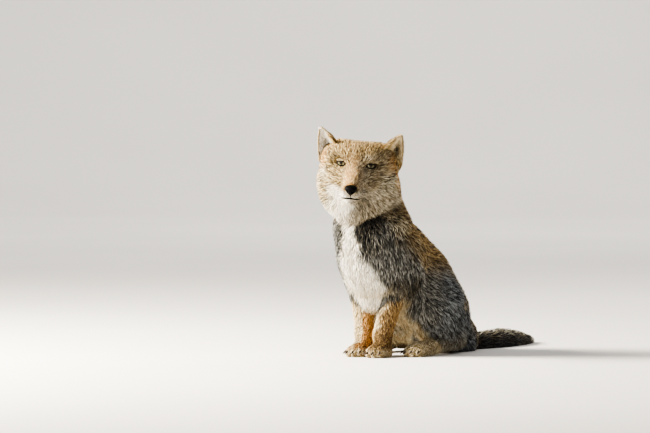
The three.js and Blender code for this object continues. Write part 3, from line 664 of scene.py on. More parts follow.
    # the same painted shade tone of greyer fawn on the left of the muzzle
    lay("fawn", 0.6 * head, (hx + 0.4 * edge, 0, 8), (hx, 30, 18), (hy, -8, -16), (hz, -46, -38))
    beside = np.abs(hs - 17 + 0.16 * (hy + 30)) + 0.5 * edge
    streak = (hx, 4, -4), (beside, 5, 1), (hz + 0.2 * hy, -30, -26), (hy, 0, -10), (hz, -2, -8)
    lay("umber", 0.4 * head, *streak)
    # lips, chin and throat are white, less so on the left, where painted shade in fawn and umber stands for
    # the side turned from the light
    lit = head * (1 - 0.75 * ramp(hx + 0.4 * edge, -4, 12))
    lay("white", lit, (hz + 0.18 * hy + 0.2 * edge, -36, -43), (hy + 0.2 * hs, 22, 4))
    lay("grizzle", 0.7 * head, (hz + edge, -40, -58), (hs + 0.3 * hy, 30, 44))
    lay("white", lit, (hz + 0.9 * edge + 0.15 * hs, -60, -80))
    lay("grizzle", 0.7 * head, (hz + edge, -52, -64), (hs, 40, 54), (hz, -104, -92))
    # painted shade, in fawn and then umber, on the left of the lips and chin and on the throat under the
    # ruff
    jaw = hx + edge + 22 * ramp(hz, -66, -86)
    lay("fawn", 0.8 * head, (jaw, -8, 10), (hz + 0.5 * edge, -43, -50), (hz + edge, -118, -100))
    lay("umber", 0.24 * head, (hx + edge, -12, 4), (hx, 30, 14), (hz, -43, -50))
    lay("gold", 0.65 * head, (hx + 0.5 * edge, 60, 71), (hz, -92, -78), (hz, 0, -14))
    # painted shade on the left under the nose and down the chin
    chin = (hx + 0.3 * edge, -6, 2), (hx, 34, 16), (hz + 0.2 * edge, -33, -38), (hz, -84, -66)
    lay("umber", 0.38 * head, *chin)
    # the same painted shade tone round the left cheek and under the left eye
    lay("fawn", 0.35 * head, (hx + edge, 16, 30), (hz, -24, -40))
    # the right cheek has a warm border and a dusky band in front of it
    lay("tan", 0.34 * head, (hx + 0.5 * edge, -50, -64), (hz, -80, -46), (hz, 14, 0))
    lay("olive", 0.75 * head, (np.abs(hx + 46) + 0.4 * edge, 11, 3), (hz, -80, -60), (hz, -26, -40))
    # pale round the eyes, a dark edge on the lids, and lines out of both corners
    for eye_side in (1, -1):
        p, q, o = seen_from_eye(points, eye_side)
        near = ramp(np.hypot(p / (OPEN_HALF + 1.2), (q + 0.3) / (OPEN_UP + 1.8)), 1.2, 1.0)
        outer_end = 15 + 4 * eye_side, 11 + 2 * eye_side
        outer = 0.9 * ramp(np.abs(q - 0.2), 1.9, 0.8) * ramp(p, *outer_end) * ramp(p, 6, 8)
        inner = ramp(np.abs(q + 0.75 * (-p - 8)), 2.0, 0.8) * ramp(-p, 15, 11) * ramp(-p, 5, 8)
        round_it = np.hypot(p / (OPEN_HALF + 3), (q - 1) / (OPEN_UP + 4.5))
        lay("cream", 0.45, (round_it, 1.2, 0.9), (o, 2, 5))
        lay("black", np.maximum(np.maximum(near, outer), inner), (o, 2, 5))
    return cover


class Wire:
    """One socket in a material. Sums and products of wires and numbers become Math
    nodes, and node() adds any other node."""

    def __init__(self, tree, socket=None):
        self.tree, self.socket = tree, socket

    def node(self, kind, settings=None, sockets=None, out=0):
        """Adds a node, with its settings set first and then its sockets set or linked."""
        made = self.tree.nodes.new(kind)
        for name, value in (settings or {}).items():
            setattr(made, name, value)
        for name, value in (sockets or {}).items():
            if isinstance(value, Wire):
                self.tree.links.new(value.socket, made.inputs[name])
            else:
                made.inputs[name].default_value = value
        return Wire(self.tree, made.outputs[out])

    def __add__(self, other):
        return self.node("ShaderNodeMath", {"operation": "ADD"}, {0: self, 1: other})

    def __mul__(self, other):
        return self.node("ShaderNodeMath", {"operation": "MULTIPLY"}, {0: self, 1: other})

    __radd__, __rmul__ = __add__, __mul__

    def over(self, low, high):
        """A smooth step of this value from 0 at low to 1 at high."""
        smooth = {"interpolation_type": "SMOOTHSTEP"}
        return self.node("ShaderNodeMapRange", smooth, {"Value": self, "From Min": low, "From Max": high})

    def mix(self, a, b):
        """Colour a turning into b by this share. A colour is a wire or screen levels."""
        a, b = (c if isinstance(c, Wire) else (*linear(*c), 1) for c in (a, b))
        return self.node("ShaderNodeMix", {"data_type": "RGBA"}, {0: self, 6: a, 7: b}, 2)

    def shaded(self, share, low, high):
        """This colour multiplied by a tone that runs between two by a share."""
        tone = {0: share, 6: (*low, 1), 7: (*high, 1)}
        tone = self.node("ShaderNodeMix", {"data_type": "RGBA"}, tone, 2)
        multiply = {"data_type": "RGBA", "blend_type": "MULTIPLY"}
        return self.node("ShaderNodeMix", multiply, {0: 1.0, 6: self, 7: tone}, 2)

    def noise(self, scale, detail, settings=None):
        """Smooth noise over the places that this wire carries."""
        return self.node("ShaderNodeTexNoise", settings, {"Vector": self, "Scale": scale, "Detail": detail})

    def bump(self, strength, distance):
        """The normal of a surface with this height, the distance in metres."""
        sockets = {"Strength": strength, "Distance": distance, "Height": self}
        return self.node("ShaderNodeBump", None, sockets)

    def vector(self, operation, *other, out=0):
        """Vector Math on this vector, and on another where the operation takes two."""
        sockets = dict(enumerate((self, *other)))
        return self.node("ShaderNodeVectorMath", {"operation": operation}, sockets, out)


def material(name):
    """A new material and a Wire to its node tree."""
    made = bpy.data.materials.new(name)
    made.use_nodes = True
    return made, Wire(made.node_tree)


def finish(made, links, constants):
    """Sets the shader's constant sockets and links those that vary."""
    shader = made.node_tree.nodes["Principled BSDF"]
    for name, value in constants.items():
        shader.inputs[name].default_value = value
    for name, link in links.items():
        made.node_tree.links.new(link.socket, shader.inputs[name])


def facing(points, quads, way):
    """The quads turned over where they look against the way given."""
    a, b, c, d = (points[quads[:, k]] for k in range(4))
    look = (np.cross(c - a, d - b) * way).sum(1)
    return quads if look.sum() > 0 else quads[:, ::-1]


hide_points, hide_faces, lid_grids = [skin_points], [skin_quads], {}
for side in (1, -1):
    lid = lid_grids[side] = lid_skin(side)
    flat = lid.reshape(-1, 3)
    quads = facing(flat, ring_quads(*lid.shape[:2]), eye_frame(side)[3])
    hide_faces.append(quads + sum(len(p) for p in hide_points))
    hide_points.append(flat)
    flat, faces = sleeve(ear_skin(side), flip=side < 0)
    hide_faces += [f + sum(len(p) for p in hide_points) for f in faces]
    hide_points.append(flat)
all_points = np.concatenate(hide_points)
under = hair_tones(markings(all_points, point_normals(all_points, hide_faces)))[0]
at = len(skin_points)
rim_black, ear_pale, ear_hollow_shade = linear((9, 8, 7), (196, 180, 150), (34, 29, 22))
v, s = np.linspace(EAR_FOOT, EAR_END, EAR_ROWS)[:, None], np.linspace(-1, 1, EAR_COLUMNS)
# painted shade in the hollow of each ear, deeper on the left ear, which is turned from the light
hollow_at = np.exp(-(((s - 0.3) / 0.4) ** 2) - ((v - 0.34) / 0.26) ** 2)[..., None]
for side, hollow_shade_depth in ((1, 1.0), (-1, 0.6)):
    step = np.repeat(LID_STEPS, lid_grids[side].shape[1])
    dark = ramp(step, 3.2, 1.7)[:, None]
    under[at : at + len(step)] = under[at : at + len(step)] * (1 - dark) + rim_black * dark
    at += len(step)
    front = ear_pale * (1 - hollow_shade_depth * hollow_at) + ear_hollow_shade * hollow_shade_depth * hollow_at
    both = np.concatenate([front, ear_pale + 0 * front], 1).reshape(-1, 3)
    under[at : at + len(both)] = both
    at += len(both) + 2

hide, wire = material("hide")
place_in = wire.node("ShaderNodeTexCoord", out=3)
fuzz, nap = place_in.noise(420.0, 3.0), place_in.noise(1100.0, 2.0)
grown_colour = wire.node("ShaderNodeAttribute", {"attribute_name": "hair_colour"})
base = grown_colour.shaded(fuzz.over(0.3, 0.7), (0.72, 0.7, 0.68), (1.16, 1.15, 1.13))
bump = (fuzz * 0.6 + nap * 0.4).bump(0.5, 0.0006)
dull = {"Specular IOR Level": 0.25}
finish(hide, {"Base Color": base, "Roughness": nap * 0.25 + 0.68, "Normal": bump}, dull)

skin = mesh_piece("skin", metres(all_points), hide_faces, hide)
paint(skin, under)
FLESH = [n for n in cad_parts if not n.startswith(("eye_", "nose", "foreclaw", "hindclaw"))]
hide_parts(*FLESH)
print("skin triangles", sum(len(f) * (f.shape[1] - 2) for f in hide_faces))

# ------------------------------------------------------------------ eyes
# The two eyes are glass balls as a taxidermist sets them: pale grey-green irises with
# a dark rim, an upright oval pupil, and a clear wet cornea that bulges a little.
GAZE = {1: (11.0, 9.0), -1: (-11.0, 9.0)}  # degrees to the head's left and up


def ball_grid(rows, columns):
    """Angles from the pole and round it for a closed grid of rings."""
    polar = np.linspace(0, np.pi, rows + 2)[1:-1, None] * np.ones((1, columns))
    round_ = np.linspace(0, 2 * np.pi, columns, endpoint=False)[None, :] * np.ones((rows, 1))
    return polar, round_


eye_glass, wire = material("eye_glass")
dial = wire.node("ShaderNodeUVMap", {"uv_map": "dial"})  # 20 mm across, so 0.05 is a millimetre
centred = dial.vector("SUBTRACT", (0.5, 0.5, 0.0))
far = centred.vector("LENGTH", out=1)
slit = centred.vector("MULTIPLY", (1.55, 1.0, 1.0)).vector("LENGTH", out=1)
fibres = centred.vector("NORMALIZE").noise(16.0, 3.0)
iris = fibres.over(0.3, 0.7).mix((78, 77, 62), (126, 124, 102))
# painted light: the iris is painted paler towards the inner corner, standing for light that crosses the
# glass
across = wire.node("ShaderNodeSeparateXYZ", None, {0: centred})
iris = across.over(0.04, 0.18).mix(iris, (196, 192, 168))
iris = far.over(0.13, 0.24).mix((76, 68, 42), iris)
iris = far.over(0.26, 0.32).mix(iris, (20, 18, 14))
iris = slit.over(0.125, 0.143).mix((2, 2, 2), iris)
iris = far.over(0.325, 0.36).mix(iris, (84, 68, 56))
glassy = {"Coat Weight": 0.22, "Coat Roughness": 0.03, "Specular IOR Level": 0.12}
finish(eye_glass, {"Base Color": iris, "Roughness": fibres * 0.04 + 0.03}, glassy)
for side, name in ((1, "left"), (-1, "right")):
    centre = eye_frame(side)[0]
    yaw, rise = np.radians(GAZE[side])
    gaze = head_axes @ np.array([np.sin(yaw) * np.cos(rise), -np.cos(yaw) * np.cos(rise), np.sin(rise)])
    level = unit(np.cross([0, 0, 1.0], gaze))
    lift = np.cross(gaze, level)
    polar, turn = ball_grid(40, 56)
    radius = EYE_RADIUS - 0.1 + 0.5 * np.exp(-((polar / 0.52) ** 4))
    flat = np.stack([np.sin(polar) * np.cos(turn), np.sin(polar) * np.sin(turn), np.cos(polar)], -1)
    grid = centre + radius[..., None] * (flat @ np.array([level, lift, gaze]))
    points, faces = sleeve(grid, flip=True)
    eye = mesh_piece("eye_" + name + "_glass", metres(points), faces, eye_glass)
    off = points - centre
    dial_at = np.stack([-side * (off @ level), off @ lift], 1) / 20
    dial_at = dial_at * np.where(off @ gaze > 0, 1, 4)[:, None] + 0.5
    corner = np.concatenate([f.ravel() for f in faces])
    layer = eye.data.uv_layers.new(name="dial")
    layer.data.foreach_set("uv", dial_at[corner].astype(np.float32).ravel())
    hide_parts("eye_" + name)

# ------------------------------------------------------------------ nose
# The bare nose pad is black pebbled leather, wide above and drawn in below, with two
# comma-shaped nostrils and the groove that runs down to the lip.
NOSE_AT, NOSE_RADII = np.array([0.0, -66.0, -23.5]), np.array([10.4, 10.6, 9.6])
NOSTRIL, SLIT, GROOVE, SWELL = 3.4, 1.5, 0.9, 0.45  # how far each is pressed in or stands out


def bell(u, v=0.0):
    """One at the middle, falling off as exp(-u u - v v)."""
    return np.exp(-(u**2) - v**2)


def nose_pad(rows=60, columns=96):
    """A ball about the axis that looks forward, narrowed below, flattened in front, and
    pressed in by a bell curve at each nostril, at its slit and along the groove."""
    polar, turn = ball_grid(rows, columns)
    x, z, y = np.sin(polar) * np.cos(turn), np.sin(polar) * np.sin(turn), -np.cos(polar)
    out = np.stack([x, y, z], -1)
    a, ahead = np.abs(x), -y
    hole = bell((a - 0.42) / 0.16, (z + 0.08) / 0.2) * ramp(ahead, 0.2, 0.6)
    slot = bell((z + 0.26 - 0.25 * (a - 0.6)) / 0.09) * ramp(a, 0.45, 0.6) * ramp(ahead, -0.2, 0.3)
    groove = bell(x / 0.06) * ramp(z, 0.25, -0.1) * ramp(ahead, 0, 0.4)
    swell = bell((a - 0.42) / 0.3, (z + 0.1) / 0.42) * ramp(ahead, 0.2, 0.6)
    pressed = NOSTRIL * hole + SLIT * slot + GROOVE * groove - SWELL * swell
    x = x * (1 - 0.42 * ramp(-z, -0.1, 1.0)) * (1 + 0.1 * ramp(z, -0.2, 0.5))
    y = y * (1 - 0.1 * ramp(-y, 0.6, 1)) - 0.1 * ramp(z, 0, 0.8) * ramp(-y, 0, 0.6)
    z = z * (1 - 0.12 * ramp(z, 0.3, 1.0))
    return from_head(NOSE_AT + np.stack([x, y, z], -1) * NOSE_RADII - pressed[..., None] * out)


leather, wire = material("nose_leather")
place_in = wire.node("ShaderNodeTexCoord", out=3)
cells = {"Vector": place_in, "Scale": 1250.0}
pebbles = wire.node("ShaderNodeTexVoronoi", {"feature": "DISTANCE_TO_EDGE"}, cells)
grain = place_in.noise(900.0, 2.0)
base = grain.over(0.3, 0.75).mix((3, 3, 4), (11, 10, 11))
bump = (pebbles.over(0.0, 0.12) * 0.8 + grain * 0.4).bump(0.55, 0.00022)
moist = {"Coat Weight": 0.02, "Coat Roughness": 0.3, "Specular IOR Level": 0.1}
finish(leather, {"Base Color": base, "Roughness": grain * 0.25 + 0.36, "Normal": bump}, moist)
points, faces = sleeve(nose_pad())
faces = [facing(points, faces[0], points[faces[0][:, 0]] - from_head(NOSE_AT)), faces[1]]
nose = mesh_piece("nose_pad", metres(points), faces, leather)
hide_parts("nose")

# ------------------------------------------------------------------ mouth
# The closed mouth shows as the dark bare edges of the lips: one line that runs round
# the muzzle under the nose to its corners, and the short groove up to the nose pad.
MOUTH_TURNS = np.radians(np.linspace(-78, 78, 61))


def on_muzzle(start, way, rise):
    """Where a ray in the head's frame meets the form at a share of the coat's depth."""
    base, way = from_head(start), way @ head_axes.T
    t = np.full(len(base), 60.0)
    for _ in range(30):
        t -= np.clip(below_tips(base + t[:, None] * way, rise), -3, 6) * 0.9
    return base + t[:, None] * way, way


def mouth_height(turn):
    """The mouth's line in the head's frame: lowest under the cheeks, arched in front."""
    return -40.6 - 3.2 * np.sin(np.abs(turn)) ** 2


def lip_edge(centre_line, upward, outward, half):
    """A strip of lens shape along a line: six points round at each of its stations."""
    angle = np.linspace(0, 2 * np.pi, 6, endpoint=False)
    ring = np.cos(angle)[None, :, None] * upward[:, None] * half[:, None, None]
    ring = ring + np.sin(angle)[None, :, None] * outward[:, None] * 0.8 * half[:, None, None] ** 0.5
    return centre_line[:, None] + ring


def bundle(grids):
    """The sleeves of several grids as the points and faces of one mesh."""
    made = [sleeve(grid) for grid in grids]
    starts = np.cumsum([0] + [len(points) for points, _ in made])
    faces = [np.concatenate([f[k] + o for (_, f), o in zip(made, starts)]) for k in (0, 1)]
    return np.concatenate([points for points, _ in made]), faces


BITE = -34.0  # the rays start this far forward, inside the muzzle
start = np.stack([0 * MOUTH_TURNS, 0 * MOUTH_TURNS + BITE, mouth_height(MOUTH_TURNS)], 1)
way = np.stack([np.sin(MOUTH_TURNS), -np.cos(MOUTH_TURNS), 0 * MOUTH_TURNS], 1)
mouth_line, mouth_way = on_muzzle(start, way, 1.0)
half = 0.5 + 1.5 * np.exp(-((MOUTH_TURNS / 0.5) ** 2))
strip = lip_edge(mouth_line, np.repeat([head_axes[:, 2]], len(start), 0), mouth_way, half)
drop = np.linspace(-31.0, -40.0, 9)
start = np.stack([0 * drop, 0 * drop + BITE, drop], 1)
groove_line, groove_way = on_muzzle(start, np.repeat([[0, -1.0, 0]], len(drop), 0), 0.7)
groove_across = np.repeat([head_axes[:, 0]], len(drop), 0)
groove = lip_edge(groove_line, groove_across, groove_way, np.linspace(1.2, 0.6, len(drop)))
points, faces = bundle([strip, groove])
lips = mesh_piece("lips", metres(points), faces, leather)

# ------------------------------------------------------------------ coat
# The winter coat grows in solid locks of hair, each rooted in the skin, lying the way
# the hair lies there and rising through the coat's depth to its tip. They are short on
# face and feet and long on ruff, back and tail, and each piece is one joined mesh.
STATIONS = np.array([0.0, 0.36, 0.72, 1.0])  # shares of a lock's length
RISES = np.array([0.0, 0.6, 0.93, 1.0])  # shares of the coat's depth there
WIDTHS = np.array([0.85, 1.0, 0.66])  # shares of its width at all but the last
PATCH = 0.003  # how much of its unwrap each lock takes, across
FLOOR_GAP = 0.5  # how far the middle of a lock stays over the floor
PULL = 0.32  # how far a bunch draws its locks together
BARE_NOSE = [11.5, 12, 10.5]  # half sizes of the place round the nose pad where no lock grows
LID_PLACE, LID_REACH = (15, 10), 30  # half sizes of the place round an eye that is left to the lids


def cubes(places, size, steps, shift=0.0):
    """A number for the cube that each place lies in, and the logarithm of the cube's
    size, which is rounded to so many steps to the unit."""
    step = np.round(np.log(size) * steps) / steps
    cube = np.floor(places / np.exp(step)[:, None] + shift).astype(np.int64)
    return ((cube[:, 0] * 4001 + cube[:, 1]) * 4001 + cube[:, 2]) * 97, step


def scattered(points, faces, spacing, seed):
    """Places spread over quads about a spacing apart: many places picked at random by
    area, of which one is kept in each cube of that size."""
    rng = np.random.default_rng(seed)
    a, b, c, d = (points[faces[:, k]] for k in range(4))
    area = np.linalg.norm(np.cross(c - a, d - b), axis=1) / 2
    pick = rng.choice(len(faces), int(area.sum() / spacing.min() ** 2 * 4), p=area / area.sum())
    u, v = rng.random((2, len(pick), 1))
    spot = (a[pick] * (1 - u) + b[pick] * u) * (1 - v) + (d[pick] * (1 - u) + c[pick] * u) * v
    key, step = cubes(spot, spacing[pick], 12)
    kept = np.unique(key + np.round(step * 12).astype(np.int64), return_index=True)[1]
    return spot[kept], pick[kept]


def along(lie, normal):
    """The part of the lie that runs along the surface, at unit length."""
    return unit(lie - (lie * normal).sum(1, keepdims=True) * normal)


def lie_of_hair(points, shares):
    """The way the hair lies: each coat's own way, and on the head away from the nose."""
    own = shares @ coat_table[:, 3:6]
    q = (points - EYES) @ head_axes
    away = unit(q - NOSE_TIP) @ head_axes.T
    lie = own + shares @ coat_table[:, 6:7] * away
    tail = shares[:, COAT_ORDER.index("tail")] + shares[:, COAT_ORDER.index("tip")]
    lie[:, 0] += tail * np.interp(points[:, 1], [285, 350, 417, 480], [0.13, 0.03, -0.12, -0.19])
    return unit(lie)


def grown(roots, normals, lie, length, reach, fall):
    """The four stations of each lock: steps along the lie, each then moved up or down
    the form to its share of the coat's depth, but down no further than its fall."""
    paths, ups = [roots - normals], [normals]
    at, normal = roots, normals
    for k in range(1, 4):
        ahead = along(lie, normal)
        at = at + ahead * (length * (STATIONS[k] - STATIONS[k - 1]))[:, None]
        at, normal = settled(at, RISES[k] * reach, limit=6.0, down=fall)
        at[:, 2] = np.maximum(at[:, 2], FLOOR_GAP)
        paths.append(at)
        ups.append(normal)
    return np.stack(paths, 1), np.stack(ups, 1)


def clumped(paths, ups, size):
    """Locks drawn together in bunches: each leans by a share of the way from its root
    to the middle of the roots in its cube, more towards the tip."""
    roots = paths[:, 0]
    key, step = cubes(roots, size, 4, shift=0.37)
    key += np.round(np.exp(step) * 7).astype(np.int64)
    key = np.unique(key, return_inverse=True)[1].ravel()
    number = np.bincount(key)
    middle = np.stack([np.bincount(key, roots[:, k]) / number for k in range(3)], 1)[key]
    lean = middle - roots
    lean = lean - (lean * ups[:, 0]).sum(1, keepdims=True) * ups[:, 0]
    return paths + PULL * (STATIONS**1.4)[None, :, None] * lean[:, None, :], key


def spread_round(roots, start, end, split=0):
    """Where each root lies on an unwrap of the skin round its piece's own axis, from 0
    to 1 along and round it, evened out so that no two patches share a place. A split of
    0 or 1 keeps the roots of two legs apart."""
    start, end = np.array(start, float), np.array(end, float)
    axis = unit(end - start)
    side = unit(np.cross(axis, [0.31, 0.17, 0.93] if abs(axis[2]) < 0.8 else [1.0, 0.1, 0]))
    off = roots - start
    angle = np.arctan2(off @ np.cross(axis, side), off @ side) + 7 * split
    rows = int(np.ceil(np.sqrt(len(roots))))
    order = np.argsort(off @ axis)
    row = np.empty(len(roots), int)
    row[order] = np.arange(len(roots)) // rows
    order = np.lexsort((angle, row))
    column = np.empty(len(roots), int)
    column[order] = np.arange(len(roots)) - np.searchsorted(row[order], row[order])
    return 0.006 + 0.988 * (np.stack([column, row], 1) + 0.5) / (rows + 1)


def coat_piece(name, paths, ups, width, colours, places, rng):
    """Locks as one mesh. At each station but the last stand three points, two edges and
    a ridge, and the last is the tip. A lock's own patch is PATCH across on OFBake, and
    the map strand runs across and along it for its hair lines."""
    n = len(paths)
    ahead = unit(np.diff(paths, axis=1))
    across = unit(np.cross(ups[:, :3], ahead))
    half = (width[:, None] * WIDTHS / 2)[..., None]
    edge_down, ridge_up = ups[:, :3] * half * 0.25, ups[:, :3] * half * 0.75
    one, two = paths[:, :3] + across * half - edge_down, paths[:, :3] - across * half - edge_down
    ring = np.stack([one, paths[:, :3] + ridge_up, two], 2)
    points = np.concatenate([ring.reshape(n, 9, 3), paths[:, 3:]], 1)
    points[..., 2] = np.maximum(points[..., 2], 0.15)
    k = np.array([0, 1, 2])
    after = (k + 1) % 3
    sides = np.concatenate([np.stack([r + k, r + after, r + 3 + after, r + 3 + k], 1) for r in (0, 3)])
    ends = np.concatenate([np.stack([6 + k, 6 + after, 0 * k + 9], 1), [[2, 1, 0]]])
    first = (np.arange(n) * 10)[:, None, None]
    quads, tris = (sides[None] + first).reshape(-1, 4), (ends[None] + first).reshape(-1, 3)
    piece = mesh_piece(name, metres(points.reshape(-1, 3)), [quads, tris], coat)
    paint(piece, np.concatenate([np.repeat(colours[:, :3], 3, axis=1), colours[:, 3:]], 1).reshape(-1, 3))
    template = np.array([(u, v) for v in STATIONS[:3] for u in (0.0, 0.5, 1.0)] + [(0.5, 1.0)])
    corner = np.concatenate([quads.ravel(), tris.ravel()])
    for layer, uv in (
        ("OFBake", places[:, None] + PATCH * (template - 0.5)),
        ("strand", template * [1, 6] + rng.random((n, 1, 2)) * [40, 40]),
    ):
        made = piece.data.uv_layers.new(name=layer)
        made.data.foreach_set("uv", uv.reshape(-1, 2)[corner].astype(np.float32).ravel())
    piece.data.uv_layers["OFBake"].active_render = True
    return len(quads) * 2 + len(tris)


def coloured(roots, normals, bunch, rng):
    """Each lock's colours from root to tip. A lock is pale, dark or in between, chosen
    by chance that its bunch and its place share in part, and its tip goes furthest."""
    under_tone, middle, pale, dark, pale_share, dark_share = hair_tones(markings(roots, normals))
    shared = rng.normal(size=bunch.max() + 1)[bunch]
    chance = 0.9 * rng.normal(size=len(roots)) + 0.25 * shared + 0.12 * drift(roots, 8, 5)
    order = np.argsort(np.argsort(chance))[:, None] / len(roots)
    kind_pale = ramp(order, 1 - pale_share - 0.05, 1 - pale_share + 0.05)
    kind_dark = ramp(order, dark_share + 0.05, dark_share - 0.05)
    tone = middle * (1 - kind_pale - kind_dark) + pale * kind_pale + dark * kind_dark
    tone = tone * np.exp(rng.normal(0, 0.1, (len(roots), 1)) + 0.05 * shared[:, None])
    root = under_tone * 0.9
    return np.stack([root, root * 0.35 + tone * 0.65, tone, tone * 1.04], 1)


coat, wire = material("coat")
grown_colour = wire.node("ShaderNodeAttribute", {"attribute_name": "hair_colour"})
strand = wire.node("ShaderNodeUVMap", {"uv_map": "strand"})
lines = strand.vector("MULTIPLY", (7.0, 0.35, 1.0)).noise(1.0, 2.0, {"noise_dimensions": "2D"})
base = grown_colour.shaded(lines.over(0.25, 0.75), (0.7, 0.68, 0.66), (1.2, 1.2, 1.2))
soft = {"Specular IOR Level": 0.28, "Sheen Weight": 0.12, "Sheen Roughness": 0.5}
bump = lines.bump(0.35, 0.0003)
finish(coat, {"Base Color": base, "Roughness": lines * 0.2 + 0.6, "Normal": bump}, soft)

rng = np.random.default_rng(11)
spacing = (fox(skin_points)[1] @ spacing_table)[skin_quads[:, 0]]
spots = scattered(skin_points, skin_quads, spacing, 12)[0]
spots = spots[spots[:, 2] > 0.6]  # none under the soles
spots, up_there = settled(spots, limit=1.5)
q = (spots - EYES) @ head_axes
free = np.linalg.norm((q - NOSE_AT) / BARE_NOSE, axis=1) > 1
for side in (1, -1):
    p, h, out = seen_from_eye(spots, side)
    past_lids = np.hypot(p / LID_PLACE[0], h / LID_PLACE[1]) >= 1
    free &= past_lids | (np.sqrt(p * p + h * h + out * out) >= LID_REACH)
spots, up_there = spots[free], up_there[free]
form_shares = fox(spots)[1]
lie = lie_of_hair(spots, form_shares)
# the lie strays in slow waves of 42 and 14 mm, and from lock to lock
turn = 0.16 * drift(spots, 42, 7) + 0.1 * drift(spots, 14, 8) + rng.normal(0, 0.15, len(spots))
lie = unit(lie + turn[:, None] * np.cross(up_there, lie))
length = form_shares @ coat_table[:, 1] * rng.uniform(0.75, 1.25, len(spots))
reach = rng.uniform(0.62, 1.03, len(spots))
q = (spots - EYES) @ head_axes
# shorter under the left of the jaw, where the collar starts
length *= 1 - 0.45 * ramp(q[:, 0], 6, 24) * ramp(q[:, 2], -72, -90) * ramp(q[:, 2], -130, -122)
ruffed = form_shares[:, COAT_ORDER.index("cheek")] + form_shares[:, COAT_ORDER.index("throat")]
fall = 6.0 - 5.0 * ramp(ruffed, 0.3, 0.6)  # the ruff's hair hangs free over the neck
paths, ups = grown(spots, up_there, lie, length, reach, fall)
paths, bunch = clumped(paths, ups, np.clip(0.3 * length, 2.0, 5.0))
clear = np.ones(len(spots), bool)
for side in (1, -1):  # no lock crosses an eye
    p, h, out = seen_from_eye(paths, side)
    over_it = np.hypot(p / (OPEN_HALF + 0.8), h / (OPEN_UP + 1.4)) < 1
    clear &= ~(over_it & (out > 0) & (out < LID_REACH)).any(1)
spots, up_there, form_shares = spots[clear], up_there[clear], form_shares[clear]
paths, ups, bunch = paths[clear], ups[clear], bunch[clear]
width = form_shares @ coat_table[:, 2] * rng.uniform(0.75, 1.3, len(spots))
colours = coloured(spots, up_there, bunch, rng)

most = np.array(COAT_ORDER)[form_shares.argmax(1)]
left = spots[:, 0] > 0
head_left = ((spots - EYES) @ head_axes)[:, 0] > 0
CLOTHED = [  # the coat's pieces: coats, what halves a pair, the axis of the unwrap, the slot
    ("face", ("muzzle", "brow", "chin"), None, from_head([[0, 30, -20], [0, -80, -26]]), "sand_coat"),
    ("crown", ("crown",), None, from_head([[0, 60, -30], [0, 60, 40]]), "sand_coat"),
    ("cheek", ("cheek",), head_left, from_head([[0, 50, 0], [0, 50, -100]]), "pale_coat"),
    ("throat", ("throat",), None, from_head([[0, 50, 0], [0, 30, -120]]), "pale_coat"),
    ("neck", ("neck",), None, ((0, 10, 320), (0, 20, 200)), "grey_coat"),
    ("breast", ("breast",), None, ((0, 30, 270), (0, 30, 80)), "pale_coat"),
    ("back", ("back",), left, ((0, 60, 240), (0, 190, 60)), "grey_coat"),
    ("shoulder", ("shoulder",), left, ((0, 50, 240), (0, 50, 80)), "grey_coat"),
    ("haunch", ("thigh", "shank"), left, ((0, 130, 130), (0, 150, 0)), "grey_coat"),
    ("rump", ("rump",), None, ((0, 200, 130), (0, 240, 0)), "grey_coat"),
    ("legs", ("foreleg", "paw", "hock"), None, ((22, 20, 110), (22, 20, 0)), "sand_coat"),
    ("tail", ("tail", "tip"), None, ((0, 250, 16), (0, 520, 12)), "dark_coat"),
]
total = 0
for kind, coats, half_of, axis, slot in CLOTHED:
    sides = {"": True} if half_of is None else {"_left": half_of, "_right": ~half_of}
    for word, which in sides.items():
        name, own = "coat_" + kind + word, np.isin(most, coats) & which
        places = spread_round(spots[own], *axis, ~left[own] * 1.0 if kind == "legs" else 0)
        made = coat_piece(name, paths[own], ups[own], width[own], colours[own], places, rng)
        total += made
        print(name, own.sum(), "locks", made, "triangles")
print("coat", total)

# ------------------------------------------------------------------ ear hair and lid hair
# The ears carry short tan hair behind and long white hair in front that fans from the
# inner edge over a hollow painted dark with shade. Short hair covers the lids up to their bare rims.
def combed(roots, normals, lie, length, lift):
    """Locks on thin hide: straight along the lie, rising by the lift as RISES tells."""
    ahead = along(lie, normals)
    s, r = STATIONS[None, :, None], RISES[None, :, None]
    rise = normals[:, None] * (lift[:, None, None] * r - 0.4 * (s == 0))
    paths = roots[:, None] + ahead[:, None] * length[:, None, None] * s + rise
    return paths, np.repeat(normals[:, None], len(STATIONS), 1)


def on_ear(side, s, v, face):
    """Places on an ear's hide, the way out of it, to the ear's tip and to its outer rim."""
    face, step = face + 0 * s, 0.01
    spot = ear_leaf(side, s, v, face)
    to_tip = unit(ear_leaf(side, s, v + step, face) - spot)
    to_rim = unit(ear_leaf(side, s + step, v, face) - spot)
    return spot, unit(np.cross(to_rim, to_tip)) * (side * (1 - 2 * face))[:, None], to_tip, to_rim


def over_ear(number, seed):
    """Roots spread over an ear, fewer towards the narrow tip, and their random stream."""
    rng = np.random.default_rng(seed)
    s, v = rng.uniform(-1, 1, number * 2), rng.uniform(-0.05, 0.97, number * 2)
    keep = rng.random(number * 2) < np.clip(1 - v, 0, 1) ** 0.66 + 0.05
    return s[keep][:number], v[keep][:number], rng


def named_tones(rng, number, first, second, share):
    """Lock colours from two named coats, mixed by a share, with pale and dark hairs."""
    cover = np.zeros((number, len(HAIR_ORDER)))
    cover[:, HAIR_ORDER.index(first)] = 1 - share
    cover[:, HAIR_ORDER.index(second)] += share
    under_tone, middle, pale, dark, pale_share, dark_share = hair_tones(cover)
    pick = rng.random((number, 1))
    tone = np.where(pick > 1 - pale_share, pale, np.where(pick < dark_share, dark, middle))
    tone = tone * np.exp(rng.normal(0, 0.09, (number, 1)))
    return np.stack([under_tone, under_tone * 0.3 + tone * 0.7, tone, tone * 1.03], 1)


